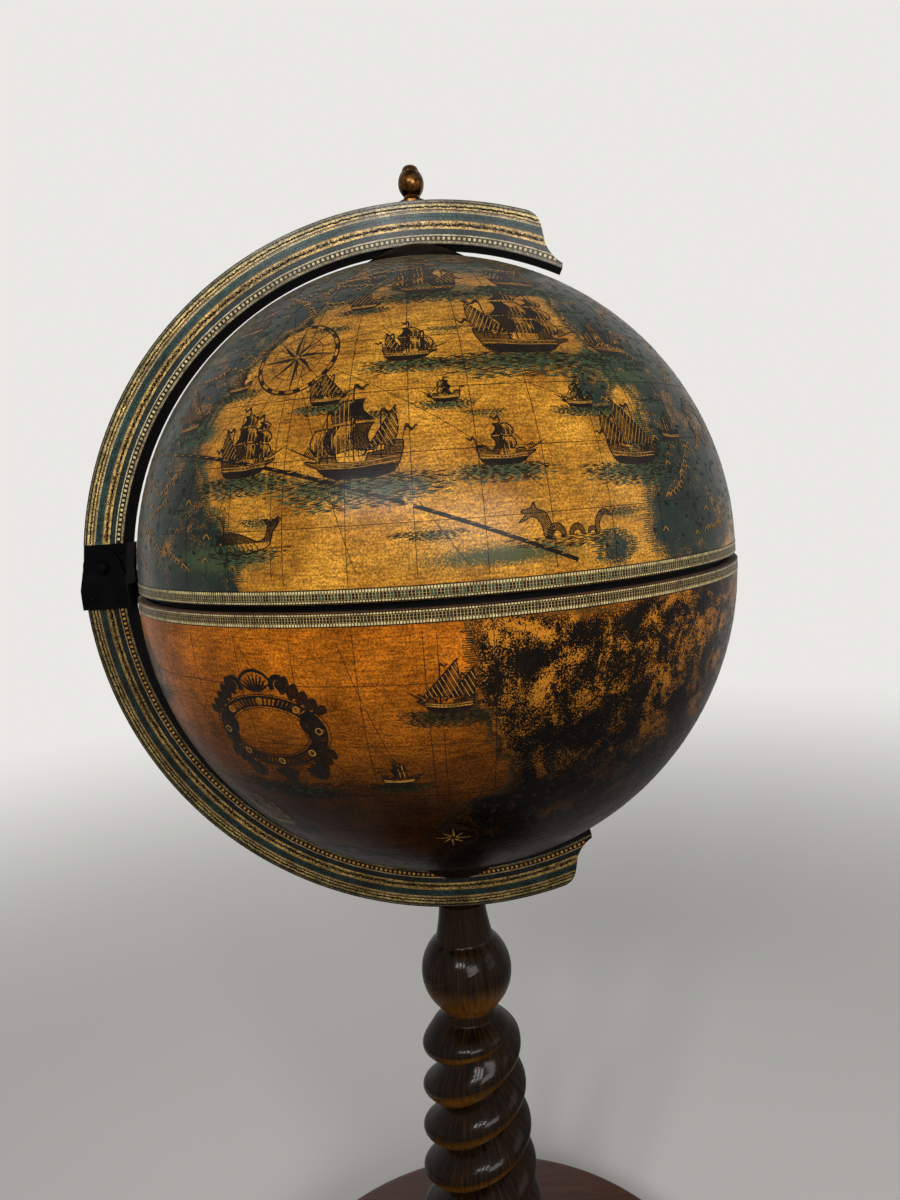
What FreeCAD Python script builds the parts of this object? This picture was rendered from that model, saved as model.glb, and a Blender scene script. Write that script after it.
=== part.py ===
import FreeCAD, Part
import math
import os

# Floor globe bar: a hollow map globe split at its equator, carried between two meridian
# arcs on a barley-twist column, over a round base on four castors. The upper arc and the
# dome tip back together about a steel hinge to open the bar.
# Millimetres, +Z up. The origin is on the column's axis at floor level. The arcs lie in the
# XZ plane, and their hinge is on the -X side.

V = FreeCAD.Vector
Z_AXIS = V(0, 0, 1)
Y_AXIS = V(0, 1, 0)

# ---------------------------------------------------------------- driving dimensions
# Globe
bowl_radius = 200.0
dome_inset = 1.5  # dome's radius under the bowl's
shell_wall = 6.0
bowl_centre_drop = 3.0  # bowl's centre below its rim
dome_centre_rise = 3.0  # dome's centre above its rim
rim_gap = 4.0  # between the closed halves
rim_round = 0.8

# Meridian arcs
arc_clearance = 19.5  # from the bowl's outside to the arcs' inside
arc_width = 28.0  # radial
arc_thickness = 20.0
arc_centre_rise = 2.0  # lower arc's centre above the bowl's rim
upper_arc_drop = 6.0  # upper arc's centre below the lower arc's
tip_angle = 26.0  # the arcs' inner tips, past each pole
corner_angle = 17.4  # where their rounded outer corners begin

# Stand
column_height = 358.5
base_radius = 190.0
base_thickness = 22.0
base_edge_round = 7.0

# Column: depths are measured down from its top
neck_top_radius = 17.0
neck_bottom_radius = 21.5
neck_length = 28.0
ball_depth = 53.0
ball_radius = 33.5
waist_radius = 20.0
waist_depth = 88.5
first_bead_depth = 108.0
first_bead_radius = 36.9
twist_taper = 0.062  # growth of the beads' radius with depth
bead_spacing = 33.3
twist_starts = 2
twist_lead = 22.9  # how far the beads are turned on, as a height
groove_share = 0.33  # depth of the groove over the bead's radius
spigot_radius = 50.0  # plain foot of the column, in its collar
spigot_height = 20.0
twist_run_out = 26.0
section_spacing = 1.5  # between the sections that shape the column
bead_steps = 20  # points across one bead of a section

# Foot collar
collar_radius = 64.0
collar_height = 18.0

# Steel rods, nuts and washers
tie_rod_radius = 5.0
pivot_rod_radius = 4.0
rod_clearance = 0.4
turning_clearance = 0.05
nut_height = 8.0
nut_growth = 4.5  # from a rod's radius to its nut's corners
washer_height = 2.0
washer_growth = 6.0
counterbore_depth = 14.0
counterbore_radius = 18.0
rod_proud = 2.5

# Hubs, bosses and bearing washer at the poles
hub_radius = 30.0
hub_height = 8.0
upper_boss_seat_radius = 11.0
lower_boss_seat_radius = 24.0
boss_shoulder_radius = 25.0
upper_boss_shoulder = 4.5  # from the arc's inside to the boss's shoulder
lower_boss_shoulder = 1.0
boss_globe_radius = 34.0
boss_edge_height = 0.5  # of its widest edge, above the globe's pole
boss_clearance = 0.3
thrust_radius = 14.0
thrust_height = 2.0

# Bar interior
deck_drop = 14.0  # top of the deck below the rim
deck_thickness = 8.0
floor_drop = 92.0  # top of the bowl's floor below the rim
floor_thickness = 8.0
glued_clearance = 0.1
ledge_height = 12.0
ledge_width = 12.0
lip_thickness = 4.0
lip_inset = 9.5  # lip's outside from the bowl's outside
lip_rise = 6.0  # above the rim, into the dome
centre_well_radius = 46.0
bottle_well_radius = 41.0
bottle_web = 18.0  # deck left between the centre well and a bottle well
bottle_wells = 3
first_bottle_angle = -90.0
glass_well_radius = 29.0
glass_margin = 32.0  # deck left outside a glass well
glass_spread = 18.0  # degrees either side of the mid-line between two bottle wells
well_edge_round = 1.5

# Hinge
pivot_offset = 1.0  # inside the arcs' mid-line
pivot_rise = 17.0  # above the bowl's rim
hinge_bolt_radius = 4.0
hinge_sheet = 2.0
shoe_sheet = 1.6
cheek_clearance = 0.3
ear_radius = 13.5
channel_drop = 12.0  # channel's lower edge below the rim
channel_web_rise = 2.0
channel_overhang = 2.5  # cheeks past the arc's inside
shoulder_rise = 10.0  # cheeks' full width ends here, above the rim
shoe_top_rise = 33.0
arc_end_rise = 4.0  # upper arc's end above the rim
lower_end_rise = 1.0  # lower arc's end above the rim
heel_rise = 6.0  # upper arc's full width begins here, above the pivot
buffer_height = 2.7
bolt_head_radius = 5.5
bolt_head_height = 3.5
screw_shank_radius = 1.3
screw_head_radius = 2.2
screw_head_height = 1.0
screw_length = 7.0
shoe_screw_rise = 27.5
shoe_screw_inset = 1.5
channel_screw_drop = 5.0
channel_screw_inset = 5.0

# Finial
finial_height = 25.0
finial_flange_radius = 9.0
finial_neck_radius = 5.5
finial_body_radius = 8.7
finial_body_rise = 12.5
finial_cap_radius = 5.7
finial_cap_rise = 20.6
finial_tip_radius = 1.4
finial_bore_depth = 13.0

# Castors
castor_count = 4
castor_ring_radius = 145.0
castor_first_angle = 45.0
castor_trail_angle = 90.0  # direction that every wheel trails in, from +X
wheel_radius = 16.0
wheel_width = 14.0
wheel_bore_clearance = 0.05
wheel_hub_radius = 7.0
wheel_dish = 1.5
axle_radius = 2.5
axle_head_radius = 4.0
axle_head_height = 1.2
trail = 14.0
cheek_sheet = 2.0
wheel_side_gap = 0.5
crown_radius = 13.0
crown_height = 2.7
stem_radius = 4.0
stem_collar_radius = 6.0
stem_collar_height = 2.0
swivel_gap = 0.3
wheel_top_gap = 4.5
plate_side = 36.0
plate_thickness = 2.5
plate_corner_radius = 4.0
plate_screw_spacing = 26.0
plate_screw_shank_radius = 1.5
plate_screw_head_radius = 3.0
plate_screw_head_height = 1.2
plate_screw_length = 14.0
stem_pocket_radius = 8.0
stem_pocket_depth = 8.0

# ---------------------------------------------------------------- levels worked out
castor_height = 2 * wheel_radius + wheel_top_gap + crown_height + swivel_gap + plate_thickness
base_top = castor_height + base_thickness
dome_radius = bowl_radius - dome_inset
arc_inner = bowl_radius + arc_clearance
arc_outer = arc_inner + arc_width
arc_centre = base_top + column_height + arc_outer
upper_arc_centre = arc_centre - upper_arc_drop
rim = arc_centre - arc_centre_rise
bowl_centre = rim - bowl_centre_drop
dome_rim = rim + rim_gap
dome_centre = dome_rim + dome_centre_rise
pivot_inset = arc_width / 2 - pivot_offset
pivot_x = -(arc_inner + pivot_inset)
pivot_z = rim + pivot_rise
deck_top = rim - deck_drop
deck_bottom = deck_top - deck_thickness
floor_top = rim - floor_drop
bowl_inside = bowl_radius - shell_wall
dome_inside = dome_radius - shell_wall
deck_radius = math.sqrt(bowl_inside**2 - (bowl_centre - deck_bottom) ** 2)
bottle_ring_radius = centre_well_radius + bottle_web + bottle_well_radius
glass_ring_radius = deck_radius - glass_margin - glass_well_radius
bowl_hub_top = bowl_centre - bowl_inside + hub_height
dome_hub_bottom = dome_centre + dome_inside - hub_height
shoe_half_width = arc_thickness / 2 - cheek_clearance
thinned_half_width = shoe_half_width - shoe_sheet - glued_clearance
cheek_inside = arc_thickness / 2 + cheek_clearance
cheek_outside = cheek_inside + hinge_sheet


# ---------------------------------------------------------------- shape helpers
def face_xz(start, *steps):
    """Closed face in the XZ plane. A step is an end point, or a mid and an end point of an arc."""
    edges = []
    here = V(start[0], 0, start[1])
    for step in steps + ((start,),):
        ends = [V(x, 0, z) for x, z in step]
        if len(ends) == 2:
            edges.append(Part.Arc(here, *ends).toShape())
        else:
            edges.append(Part.makeLine(here, ends[0]))
        here = ends[-1]
    return Part.Face(Part.Wire(edges))


def turned(start, *steps):
    """Solid of revolution about Z from an outline of (radius, height) points."""
    return face_xz(start, *steps).revolve(V(0, 0, 0), Z_AXIS, 360)


def slab(face, y_low, y_high):
    """A face in the XZ plane thickened from y_low to y_high."""
    moved = face.translated(V(0, y_low, 0))
    return moved.extrude(V(0, y_high - y_low, 0))


def rod(radius, low, high, x=0.0, y=0.0):
    """Upright cylinder."""
    return Part.makeCylinder(radius, high - low, V(x, y, low), Z_AXIS)


def rod_y(radius, y_low, y_high, x, z):
    """Cylinder along Y."""
    return Part.makeCylinder(radius, y_high - y_low, V(x, y_low, z), Y_AXIS)


def washer(bore, radius, low, high):
    """Flat ring about Z."""
    return rod(radius, low, high).cut(rod(bore, low, high))


def hex_nut(bore, low, height):
    """Hexagon nut about Z."""
    corner = bore + nut_growth
    turns = [number * math.pi / 3 for number in range(7)]
    corners = [V(corner * math.cos(turn), corner * math.sin(turn), low) for turn in turns]
    prism = Part.Face(Part.makePolygon(corners)).extrude(V(0, 0, height))
    return prism.cut(rod(bore, low, low + height))


def ball(radius, centre, angle):
    """Point (radius, height) of a ball's section, angle radians above its middle."""
    return (radius * math.cos(angle), centre + radius * math.sin(angle))


def inside_ball(shape, radius, centre):
    """The part of a shape that lies within a ball on the axis."""
    return shape.common(Part.makeSphere(radius, V(0, 0, centre)))


def outside_ball(shape, radius, centre):
    """The part of a shape that lies outside a ball on the axis."""
    return shape.cut(Part.makeSphere(radius, V(0, 0, centre)))


def centre_of(side):
    """Height of an arc's centre; side is 1 for the upper arc, -1 for the lower."""
    return upper_arc_centre if side > 0 else arc_centre


def arc_cylinder(radius, side):
    """Cylinder along Y, concentric with one arc and wider than anything on it."""
    reach = 4 * boss_globe_radius
    return Part.makeCylinder(radius, 2 * reach, V(0, -reach, centre_of(side)), Y_AXIS)


def on_arc(radius, pole_angle, side):
    """Point at a radius of one arc, pole_angle degrees past its pole."""
    turn = math.radians(pole_angle)
    return (radius * math.sin(turn), centre_of(side) + side * radius * math.cos(turn))


def hinge_side_x(radius, height, side):
    """X on the hinge side of a circle about one arc's centre, at this height."""
    return -math.sqrt(radius**2 - (height - centre_of(side)) ** 2)


def pole_angle_of(x, height, side):
    """Degrees past the pole of a point, as on_arc counts them."""
    return math.degrees(math.atan2(x, side * (height - centre_of(side))))


def rounded(shape, radius, wanted):
    """Fillet the circular edges that wanted(edge) picks."""
    return shape.makeFillet(radius, [edge for edge in shape.Edges if wanted(edge)])


def at_height(edge, height):
    """True for an edge that lies level at this height."""
    box = edge.BoundBox
    return abs(box.ZMin - height) < 0.01 and abs(box.ZMax - height) < 0.01


# ---------------------------------------------------------------- stand
def castor_places():
    """Swivel axes of the castors."""
    places = []
    for number in range(castor_count):
        turn = math.radians(castor_first_angle + 360.0 * number / castor_count)
        places.append(V(castor_ring_radius * math.cos(turn), castor_ring_radius * math.sin(turn), 0))
    return places


def plate_screw_places():
    """Screw axes of one castor plate."""
    half = plate_screw_spacing / 2
    return [(x, y) for x in (-half, half) for y in (-half, half)]


def base_disc():
    """Round base with bull-nosed edge, counterbored for the tie rod's nut and pocketed for the castors."""
    edge = base_radius - base_edge_round
    low, high = castor_height, base_top
    lift = base_edge_round * (1 - math.sqrt(0.5))
    disc = turned(
        (tie_rod_radius + rod_clearance, low),
        ((edge, low),),
        ((base_radius - lift, low + lift), (base_radius, low + base_edge_round)),
        ((base_radius, high - base_edge_round),),
        ((base_radius - lift, high - lift), (edge, high)),
        ((tie_rod_radius + rod_clearance, high),),
    )
    disc = disc.cut(rod(counterbore_radius, low, low + counterbore_depth))
    for place in castor_places():
        disc = disc.cut(rod(stem_pocket_radius, low, low + stem_pocket_depth, place.x, place.y))
        for x, y in plate_screw_places():
            length = plate_screw_length - plate_thickness
            disc = disc.cut(rod(plate_screw_shank_radius, low, low + length, place.x + x, place.y + y))
    return disc


def foot_collar():
    """Turned ring round the column's foot."""
    bore = spigot_radius + rod_clearance
    low, high = base_top, base_top + collar_height
    step = collar_height / 4
    return turned(
        (bore, low),
        ((collar_radius, low),),
        ((collar_radius, low + step),),
        ((collar_radius - 1, low + step),),
        ((collar_radius - 1 + 0.8 * step, low + 2 * step), (collar_radius - 1, low + 3 * step)),
        ((collar_radius - 6, low + 3.2 * step), (bore + 2, high)),
        ((bore, high),),
    )


def ease(value):
    """Smooth step from 0 to 1."""
    value = min(max(value, 0.0), 1.0)
    return value * value * (3 - 2 * value)


def column_envelope(depth):
    """Radius over the beads at a depth below the column's top."""
    above_base = column_height - depth
    if depth < waist_depth:
        neck = 0.0
        if depth < neck_length:
            neck = neck_top_radius + (neck_bottom_radius - neck_top_radius) * (depth / neck_length) ** 1.5
        off_centre = abs(depth - ball_depth)
        sphere = math.sqrt(ball_radius**2 - off_centre**2) if off_centre < ball_radius else 0.0
        return max(neck, sphere, waist_radius if depth > ball_depth else 0.0)
    bead = first_bead_radius + twist_taper * (depth - first_bead_depth)
    if depth < first_bead_depth:
        share = (depth - waist_depth) / (first_bead_depth - waist_depth)
        return waist_radius + (first_bead_radius - waist_radius) * math.sin(math.pi / 2 * share**0.9)
    run_out = ease((above_base - spigot_height) / twist_run_out)
    return spigot_radius + (bead - spigot_radius) * run_out


def column_radius(depth, turn):
    """Radius of the twisted column at a depth and an angle."""
    envelope = column_envelope(depth)
    above_base = column_height - depth
    run_in = ease((depth - waist_depth) / bead_spacing)
    run_out = ease((above_base - spigot_height) / twist_run_out)
    phase = twist_starts * turn + 2 * math.pi * (depth + twist_lead) / bead_spacing
    dip = 1 - abs(math.cos(phase / 2))
    return envelope * (1 - groove_share * run_in * run_out * dip)


def column_depths():
    """Levels of the column's sections, evenly spaced from its top to its foot."""
    count = round(column_height / section_spacing)
    return [column_height * number / count for number in range(count + 1)]


def clamped_knots(poles):
    """Knots and multiplicities of a cubic spline with this many poles, that begins and ends on a pole."""
    spans = poles - 3
    return [number / spans for number in range(spans + 1)], [4] + [1] * (spans - 1) + [4]


def column_strip(start):
    """Surface of one bead, from groove to groove, down the whole column."""
    rows = []
    for depth in column_depths():
        groove = (2 * start + 1) * math.pi - 2 * math.pi * (depth + twist_lead) / bead_spacing
        height = base_top + column_height - depth
        row = []
        for step in range(bead_steps + 1):
            turn = (groove + 2 * math.pi * step / bead_steps) / twist_starts
            radius = column_radius(depth, turn)
            row.append(V(radius * math.cos(turn), radius * math.sin(turn), height))
        rows.append(row)
    down_knots, down_counts = clamped_knots(len(rows))
    across_knots, across_counts = clamped_knots(bead_steps + 1)
    surface = Part.BSplineSurface()
    surface.buildFromPolesMultsKnots(
        rows, down_counts, across_counts, down_knots, across_knots, False, False, 3, 3
    )
    return surface.toShape()


def end_cap(strips, height):
    """Flat end of the column, from the strips' edges at this height."""
    edges = [edge for strip in strips for edge in strip.Edges if at_height(edge, height)]
    return Part.Face(Part.Wire(Part.__sortEdges__(edges)))


def column():
    """Barley-twist column, turned to a neck and ball at its top and bored for the tie rod."""
    strips = [column_strip(start) for start in range(twist_starts)]
    caps = [end_cap(strips, base_top), end_cap(strips, base_top + column_height)]
    shell = Part.makeShell(strips + caps)
    shell.sewShape()
    solid = Part.makeSolid(shell)
    if solid.Volume < 0:
        solid.reverse()
    solid = solid.cut(rod(tie_rod_radius + rod_clearance, base_top - 1, base_top + column_height + 1))
    return solid.cut(arc_cylinder(arc_outer, -1))


def tie_rod():
    """Threaded rod that clamps base, column and lower arc, and carries the bowl."""
    low = castor_height + counterbore_depth - washer_height - nut_height - rod_proud
    high = bowl_hub_top + washer_height + nut_height + rod_proud
    return rod(tie_rod_radius, low, high)


def tie_rod_washers():
    """Washers under the base and over the bowl's hub."""
    under = castor_height + counterbore_depth
    over = bowl_hub_top + glued_clearance
    bore = tie_rod_radius + turning_clearance
    wide = tie_rod_radius + washer_growth
    return Part.makeCompound(
        [washer(bore, wide, under - washer_height, under), washer(bore, wide, over, over + washer_height)]
    )


def tie_rod_nuts():
    """Nuts at both ends of the tie rod."""
    under = castor_height + counterbore_depth - washer_height - nut_height
    over = bowl_hub_top + glued_clearance + washer_height
    return Part.makeCompound([hex_nut(tie_rod_radius, level, nut_height) for level in (under, over)])


# ---------------------------------------------------------------- meridian arcs
def ogee_steps(side):
    """Outline steps of an arc's free end, from its outer corner to its inner tip."""
    shoulder = on_arc(arc_outer - 1.9, corner_angle + 1.8, side)
    shoulder_end = on_arc(arc_outer - 7.0, corner_angle + 3.0, side)
    hollow_start = on_arc(arc_inner + 11.0, tip_angle - 4.1, side)
    hollow = on_arc(arc_inner + 5.6, tip_angle - 2.3, side)
    hollow_end = on_arc(arc_inner + 3.2, tip_angle - 0.3, side)
    return (shoulder, shoulder_end), (hollow_start,), (hollow, hollow_end)


def arc_outline(side, end_steps, inner_end, outer_start):
    """Face of one arc: round its inside to the hinge end, through end_steps, back round its outside."""
    inner_mid = (tip_angle + pole_angle_of(*inner_end, side)) / 2
    outer_mid = (corner_angle + pole_angle_of(*outer_start, side)) / 2
    return face_xz(
        on_arc(arc_inner, tip_angle, side),
        (on_arc(arc_inner, inner_mid, side), inner_end),
        *end_steps,
        (on_arc(arc_outer, outer_mid, side), on_arc(arc_outer, corner_angle, side)),
        *ogee_steps(side),
    )


def heel_steps():
    """Lower end of the upper arc: flat over the buffer, then rounded about the pivot."""
    end = rim + arc_end_rise
    heel = pivot_z - end
    half = heel * math.sqrt(0.5)
    return (
        ((pivot_x, end),),
        ((pivot_x - half, pivot_z - half), (pivot_x - heel, pivot_z)),
    )


def upper_arc():
    """Upper meridian arc, thinned at its hinge end for the shoe and bored for its pivots."""
    end = rim + arc_end_rise
    inner_end = (hinge_side_x(arc_inner, end, 1), end)
    heel_top = pivot_z + heel_rise
    outer_start = (hinge_side_x(arc_outer, heel_top, 1), heel_top)
    outline = arc_outline(1, heel_steps() + ((outer_start,),), inner_end, outer_start)
    arc = slab(outline, -arc_thickness / 2, arc_thickness / 2)
    depth = arc_thickness - thinned_half_width
    low = rim + shoe_top_rise + glued_clearance - 4 * arc_width
    for y in (-arc_thickness, thinned_half_width):
        arc = arc.cut(Part.makeBox(2 * arc_width, depth, 4 * arc_width, V(pivot_x - arc_width, y, low)))
    arc = arc.cut(rod(pivot_rod_radius + turning_clearance, arc_centre, arc_centre + 2 * arc_outer))
    arc = arc.cut(hinge_bore())
    return arc.cut(Part.makeCompound(screw_shanks(shoe_screw_places(), shoe_half_width)))


def lower_arc():
    """Lower meridian arc, clamped on the column by the tie rod."""
    end = rim + lower_end_rise
    inner_end = (hinge_side_x(arc_inner, end, -1), end)
    outer_start = (hinge_side_x(arc_outer, end, -1), end)
    outline = arc_outline(-1, ((outer_start,),), inner_end, outer_start)
    arc = slab(outline, -arc_thickness / 2, arc_thickness / 2)
    arc = arc.cut(rod(tie_rod_radius + turning_clearance, base_top, arc_centre))
    return arc.cut(Part.makeCompound(screw_shanks(channel_screw_places(), cheek_outside)))


def pole_boss(side, pole, seat_radius, shoulder):
    """Turned boss between an arc and the globe's pole, at this height: two low cones, widest at the globe."""
    seat = centre_of(side) + side * arc_inner
    far = pole - side * bowl_radius / 10
    return turned(
        (0, seat + side),
        ((seat_radius, seat + side),),
        ((boss_shoulder_radius, seat - side * shoulder),),
        ((boss_globe_radius, pole + side * boss_edge_height),),
        ((boss_globe_radius, far),),
        ((0, far),),
    )


def upper_boss():
    """Boss under the upper arc's pole, clear of the dome that turns below it."""
    boss = pole_boss(1, dome_centre + dome_radius, upper_boss_seat_radius, upper_boss_shoulder)
    boss = boss.common(arc_cylinder(arc_inner - glued_clearance, 1))
    boss = outside_ball(boss, dome_radius + boss_clearance, dome_centre)
    return boss.cut(rod(pivot_rod_radius + turning_clearance, rim, arc_centre + arc_outer))


def lower_boss():
    """Boss over the lower arc's pole, recessed for the thrust washer."""
    boss = pole_boss(-1, bowl_centre - bowl_radius, lower_boss_seat_radius, lower_boss_shoulder)
    boss = boss.common(arc_cylinder(arc_inner - glued_clearance, -1))
    boss = outside_ball(boss, bowl_radius + boss_clearance, bowl_centre)
    low = bowl_centre - bowl_radius - turning_clearance - thrust_height
    boss = boss.cut(rod(thrust_radius + rod_clearance, low, bowl_centre))
    return boss.cut(rod(tie_rod_radius + turning_clearance, base_top, rim))


def thrust_washer():
    """Bearing washer under the bowl's pole."""
    top = bowl_centre - bowl_radius - turning_clearance
    return washer(tie_rod_radius + turning_clearance, thrust_radius, top - thrust_height, top)


# ---------------------------------------------------------------- hinge
def hinge_bore():
    """Hole for the pivot bolt, right through the hinge."""
    return rod_y(hinge_bolt_radius + turning_clearance, -arc_width, arc_width, pivot_x, pivot_z)


def ring_sector(inner, outer, low, high, half_width, side):
    """Strip of sheet concentric with one arc on the hinge side, between two heights."""
    centre = V(0, -half_width, centre_of(side))
    ring = Part.makeCylinder(outer, 2 * half_width, centre, Y_AXIS)
    ring = ring.cut(Part.makeCylinder(inner, 2 * half_width, centre, Y_AXIS))
    return ring.common(Part.makeBox(outer, 2 * half_width, high - low, V(-outer, -half_width, low)))


def both_faces(face, inside, outside):
    """A face thickened on both sides of the arcs' plane."""
    return slab(face, -outside, -inside), slab(face, inside, outside)


def screw_shanks(places, face_y):
    """Screw shanks driven into both faces at (x, z) places, from the sheet's outside at face_y."""
    shanks = []
    for x, z in places:
        shanks.append(rod_y(screw_shank_radius, -face_y, -face_y + screw_length, x, z))
        shanks.append(rod_y(screw_shank_radius, face_y - screw_length, face_y, x, z))
    return shanks


def screw_heads(places, face_y):
    """Domed heads of the same screws."""
    heads = []
    for x, z in places:
        for direction in (-1, 1):
            heads.append(dome_head(screw_head_radius, screw_head_height, x, direction * face_y, z, direction))
    return heads


def dome_head(radius, height, x, y, z, direction):
    """Low dome of this radius and height on a face square to Y, standing out towards direction."""
    big = (radius**2 + height**2) / (2 * height)
    sphere = Part.makeSphere(big, V(x, y + direction * (height - big), z))
    low = y if direction > 0 else y - height
    return sphere.common(rod_y(radius, low, low + height, x, z))


def screws(places, face_y):
    """Whole screws in both faces, as separate solids."""
    shanks = screw_shanks(places, face_y)
    heads = screw_heads(places, face_y)
    return Part.makeCompound([shank.fuse(head).removeSplitter() for shank, head in zip(shanks, heads)])


def shoe_screw_places():
    """Screw at the shoe's top inner corner, clear of the channel's ears."""
    height = rim + shoe_screw_rise
    return [(hinge_side_x(arc_inner + shoe_screw_inset, height, 1), height)]


def channel_screw_places():
    """Screws through the channel's cheeks into the lower arc."""
    height = rim - channel_screw_drop
    inner = hinge_side_x(arc_inner + channel_screw_inset, height, -1)
    outer = hinge_side_x(arc_outer - channel_screw_inset, height, -1)
    return [(inner, height), (outer, height)]


def hinge_channel():
    """Steel channel round the lower arc's end, with two ears that carry the pivot bolt."""
    low = rim - channel_drop
    shoulder = rim + shoulder_rise
    inner = arc_inner - channel_overhang
    outer = arc_outer + glued_clearance + hinge_sheet
    web_top = rim + channel_web_rise
    cheek = face_xz(
        (hinge_side_x(inner, low, -1), low),
        ((hinge_side_x(inner, shoulder, -1), shoulder),),
        ((pivot_x + ear_radius, pivot_z),),
        ((pivot_x, pivot_z + ear_radius), (pivot_x - ear_radius, pivot_z)),
        ((hinge_side_x(outer, web_top, -1), web_top),),
        ((hinge_side_x(outer, low, -1), low),),
    )
    front, back = both_faces(cheek, cheek_inside, cheek_outside)
    web = ring_sector(arc_outer + glued_clearance, outer, low, web_top, cheek_outside, -1)
    channel = front.fuse([back, web]).removeSplitter()
    channel = channel.cut(hinge_bore())
    return channel.cut(Part.makeCompound(screw_shanks(channel_screw_places(), cheek_outside)))


def hinge_channel_screws():
    """Screws that hold the channel on the lower arc."""
    return screws(channel_screw_places(), cheek_outside)


def hinge_shoe():
    """Steel shoe let into the upper arc's end, which turns between the channel's ears."""
    top = rim + shoe_top_rise
    end = rim + arc_end_rise
    inner = arc_inner - shoe_sheet - glued_clearance
    outer = arc_outer - glued_clearance
    heel_top = pivot_z + heel_rise
    cheek = face_xz(
        (hinge_side_x(inner, top, 1), top),
        ((hinge_side_x(inner, end, 1), end),),
        *heel_steps(),
        ((hinge_side_x(outer, heel_top, 1), heel_top),),
        ((hinge_side_x(outer, top, 1), top),),
    )
    front, back = both_faces(cheek, shoe_half_width - shoe_sheet, shoe_half_width)
    web = ring_sector(inner, inner + shoe_sheet, end, top, shoe_half_width, 1)
    shoe = front.fuse([back, web]).removeSplitter()
    shoe = shoe.cut(hinge_bore())
    return shoe.cut(Part.makeCompound(screw_shanks(shoe_screw_places(), shoe_half_width)))


def hinge_shoe_screws():
    """Screws that hold the shoe on the upper arc."""
    return screws(shoe_screw_places(), shoe_half_width)


def hinge_bolt():
    """Pivot bolt with a domed head at the front."""
    shank = rod_y(hinge_bolt_radius, -cheek_outside, cheek_outside + bolt_head_height, pivot_x, pivot_z)
    head = dome_head(bolt_head_radius, bolt_head_height, pivot_x, -cheek_outside, pivot_z, -1)
    return shank.fuse(head).removeSplitter()


def hinge_cap_nut():
    """Domed nut on the bolt's far end."""
    skirt_end = cheek_outside + bolt_head_height
    skirt = rod_y(bolt_head_radius, cheek_outside, skirt_end, pivot_x, pivot_z)
    dome = dome_head(bolt_head_radius, bolt_head_height, pivot_x, skirt_end, pivot_z, 1)
    nut = skirt.fuse(dome).removeSplitter()
    return nut.cut(rod_y(hinge_bolt_radius, 0, skirt_end, pivot_x, pivot_z))


def hinge_buffer():
    """Rubber pad on the lower arc's end, that the closed upper arc rests over."""
    low = rim + lower_end_rise
    length = pivot_inset - 5.0
    width = arc_thickness - 4.0
    return Part.makeBox(length, width, buffer_height, V(-arc_inner - length - 1.0, -width / 2, low))


# ---------------------------------------------------------------- pivot at the upper pole
def pivot_rod():
    """Rod through the upper arc and boss, that the dome hangs and turns on."""
    low = dome_hub_bottom - glued_clearance - washer_height - nut_height - rod_proud
    return rod(pivot_rod_radius, low, upper_arc_centre + arc_outer + finial_bore_depth - 1.0)


def pivot_washer():
    """Washer that carries the dome's hub."""
    top = dome_hub_bottom - glued_clearance
    bore = pivot_rod_radius + turning_clearance
    return washer(bore, pivot_rod_radius + washer_growth, top - washer_height, top)


def pivot_nut():
    """Nut under the pivot washer."""
    low = dome_hub_bottom - glued_clearance - washer_height - nut_height
    return hex_nut(pivot_rod_radius, low, nut_height)


def finial():
    """Acorn finial, screwed on the pivot rod over the upper arc."""
    seat = upper_arc_centre + arc_outer
    tip = seat + finial_height
    cap = seat + finial_cap_rise
    knob = turned(
        (0, seat - 1),
        ((finial_flange_radius, seat - 1),),
        ((finial_flange_radius, seat + 1.8),),
        ((finial_neck_radius + 0.8, seat + 3.4), (finial_neck_radius, seat + 5.2)),
        ((finial_body_radius, seat + finial_body_rise), (finial_cap_radius + 0.4, cap)),
        ((finial_cap_radius, cap),),
        ((finial_cap_radius * 0.78, tip - 1.3), (finial_tip_radius, tip)),
        ((0, tip),),
    )
    knob = knob.cut(rod(pivot_rod_radius, seat - 1, seat + finial_bore_depth))
    return knob.cut(arc_cylinder(arc_outer, 1))


# ---------------------------------------------------------------- globe
def half_shell(radius, centre, rim_level, bore, side):
    """Half of the hollow globe, open at its rim and bored at its pole; side is 1 for the dome."""
    inside = radius - shell_wall
    outer_rim = math.asin((rim_level - centre) / radius)
    inner_rim = math.asin((rim_level - centre) / inside)
    outer_pole = side * math.acos(bore / radius)
    inner_pole = side * math.acos(bore / inside)
    shell = turned(
        ball(radius, centre, outer_rim),
        (ball(radius, centre, (outer_rim + outer_pole) / 2), ball(radius, centre, outer_pole)),
        (ball(inside, centre, inner_pole),),
        (ball(inside, centre, (inner_rim + inner_pole) / 2), ball(inside, centre, inner_rim)),
    )
    return rounded(shell, rim_round, lambda edge: at_height(edge, rim_level))


def bowl_shell():
    """Lower half of the globe, that holds the bar."""
    return half_shell(bowl_radius, bowl_centre, rim, tie_rod_radius + turning_clearance, -1)


def dome_shell():
    """Upper half of the globe, the bar's lid."""
    return half_shell(dome_radius, dome_centre, dome_rim, pivot_rod_radius + turning_clearance, 1)


def bowl_hub():
    """Disc that stiffens the bowl's pole."""
    top = bowl_hub_top
    hub = rod(hub_radius, bowl_centre - bowl_radius, top)
    hub = inside_ball(hub, bowl_inside - glued_clearance, bowl_centre)
    return hub.cut(rod(tie_rod_radius + turning_clearance, base_top, rim))


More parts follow.
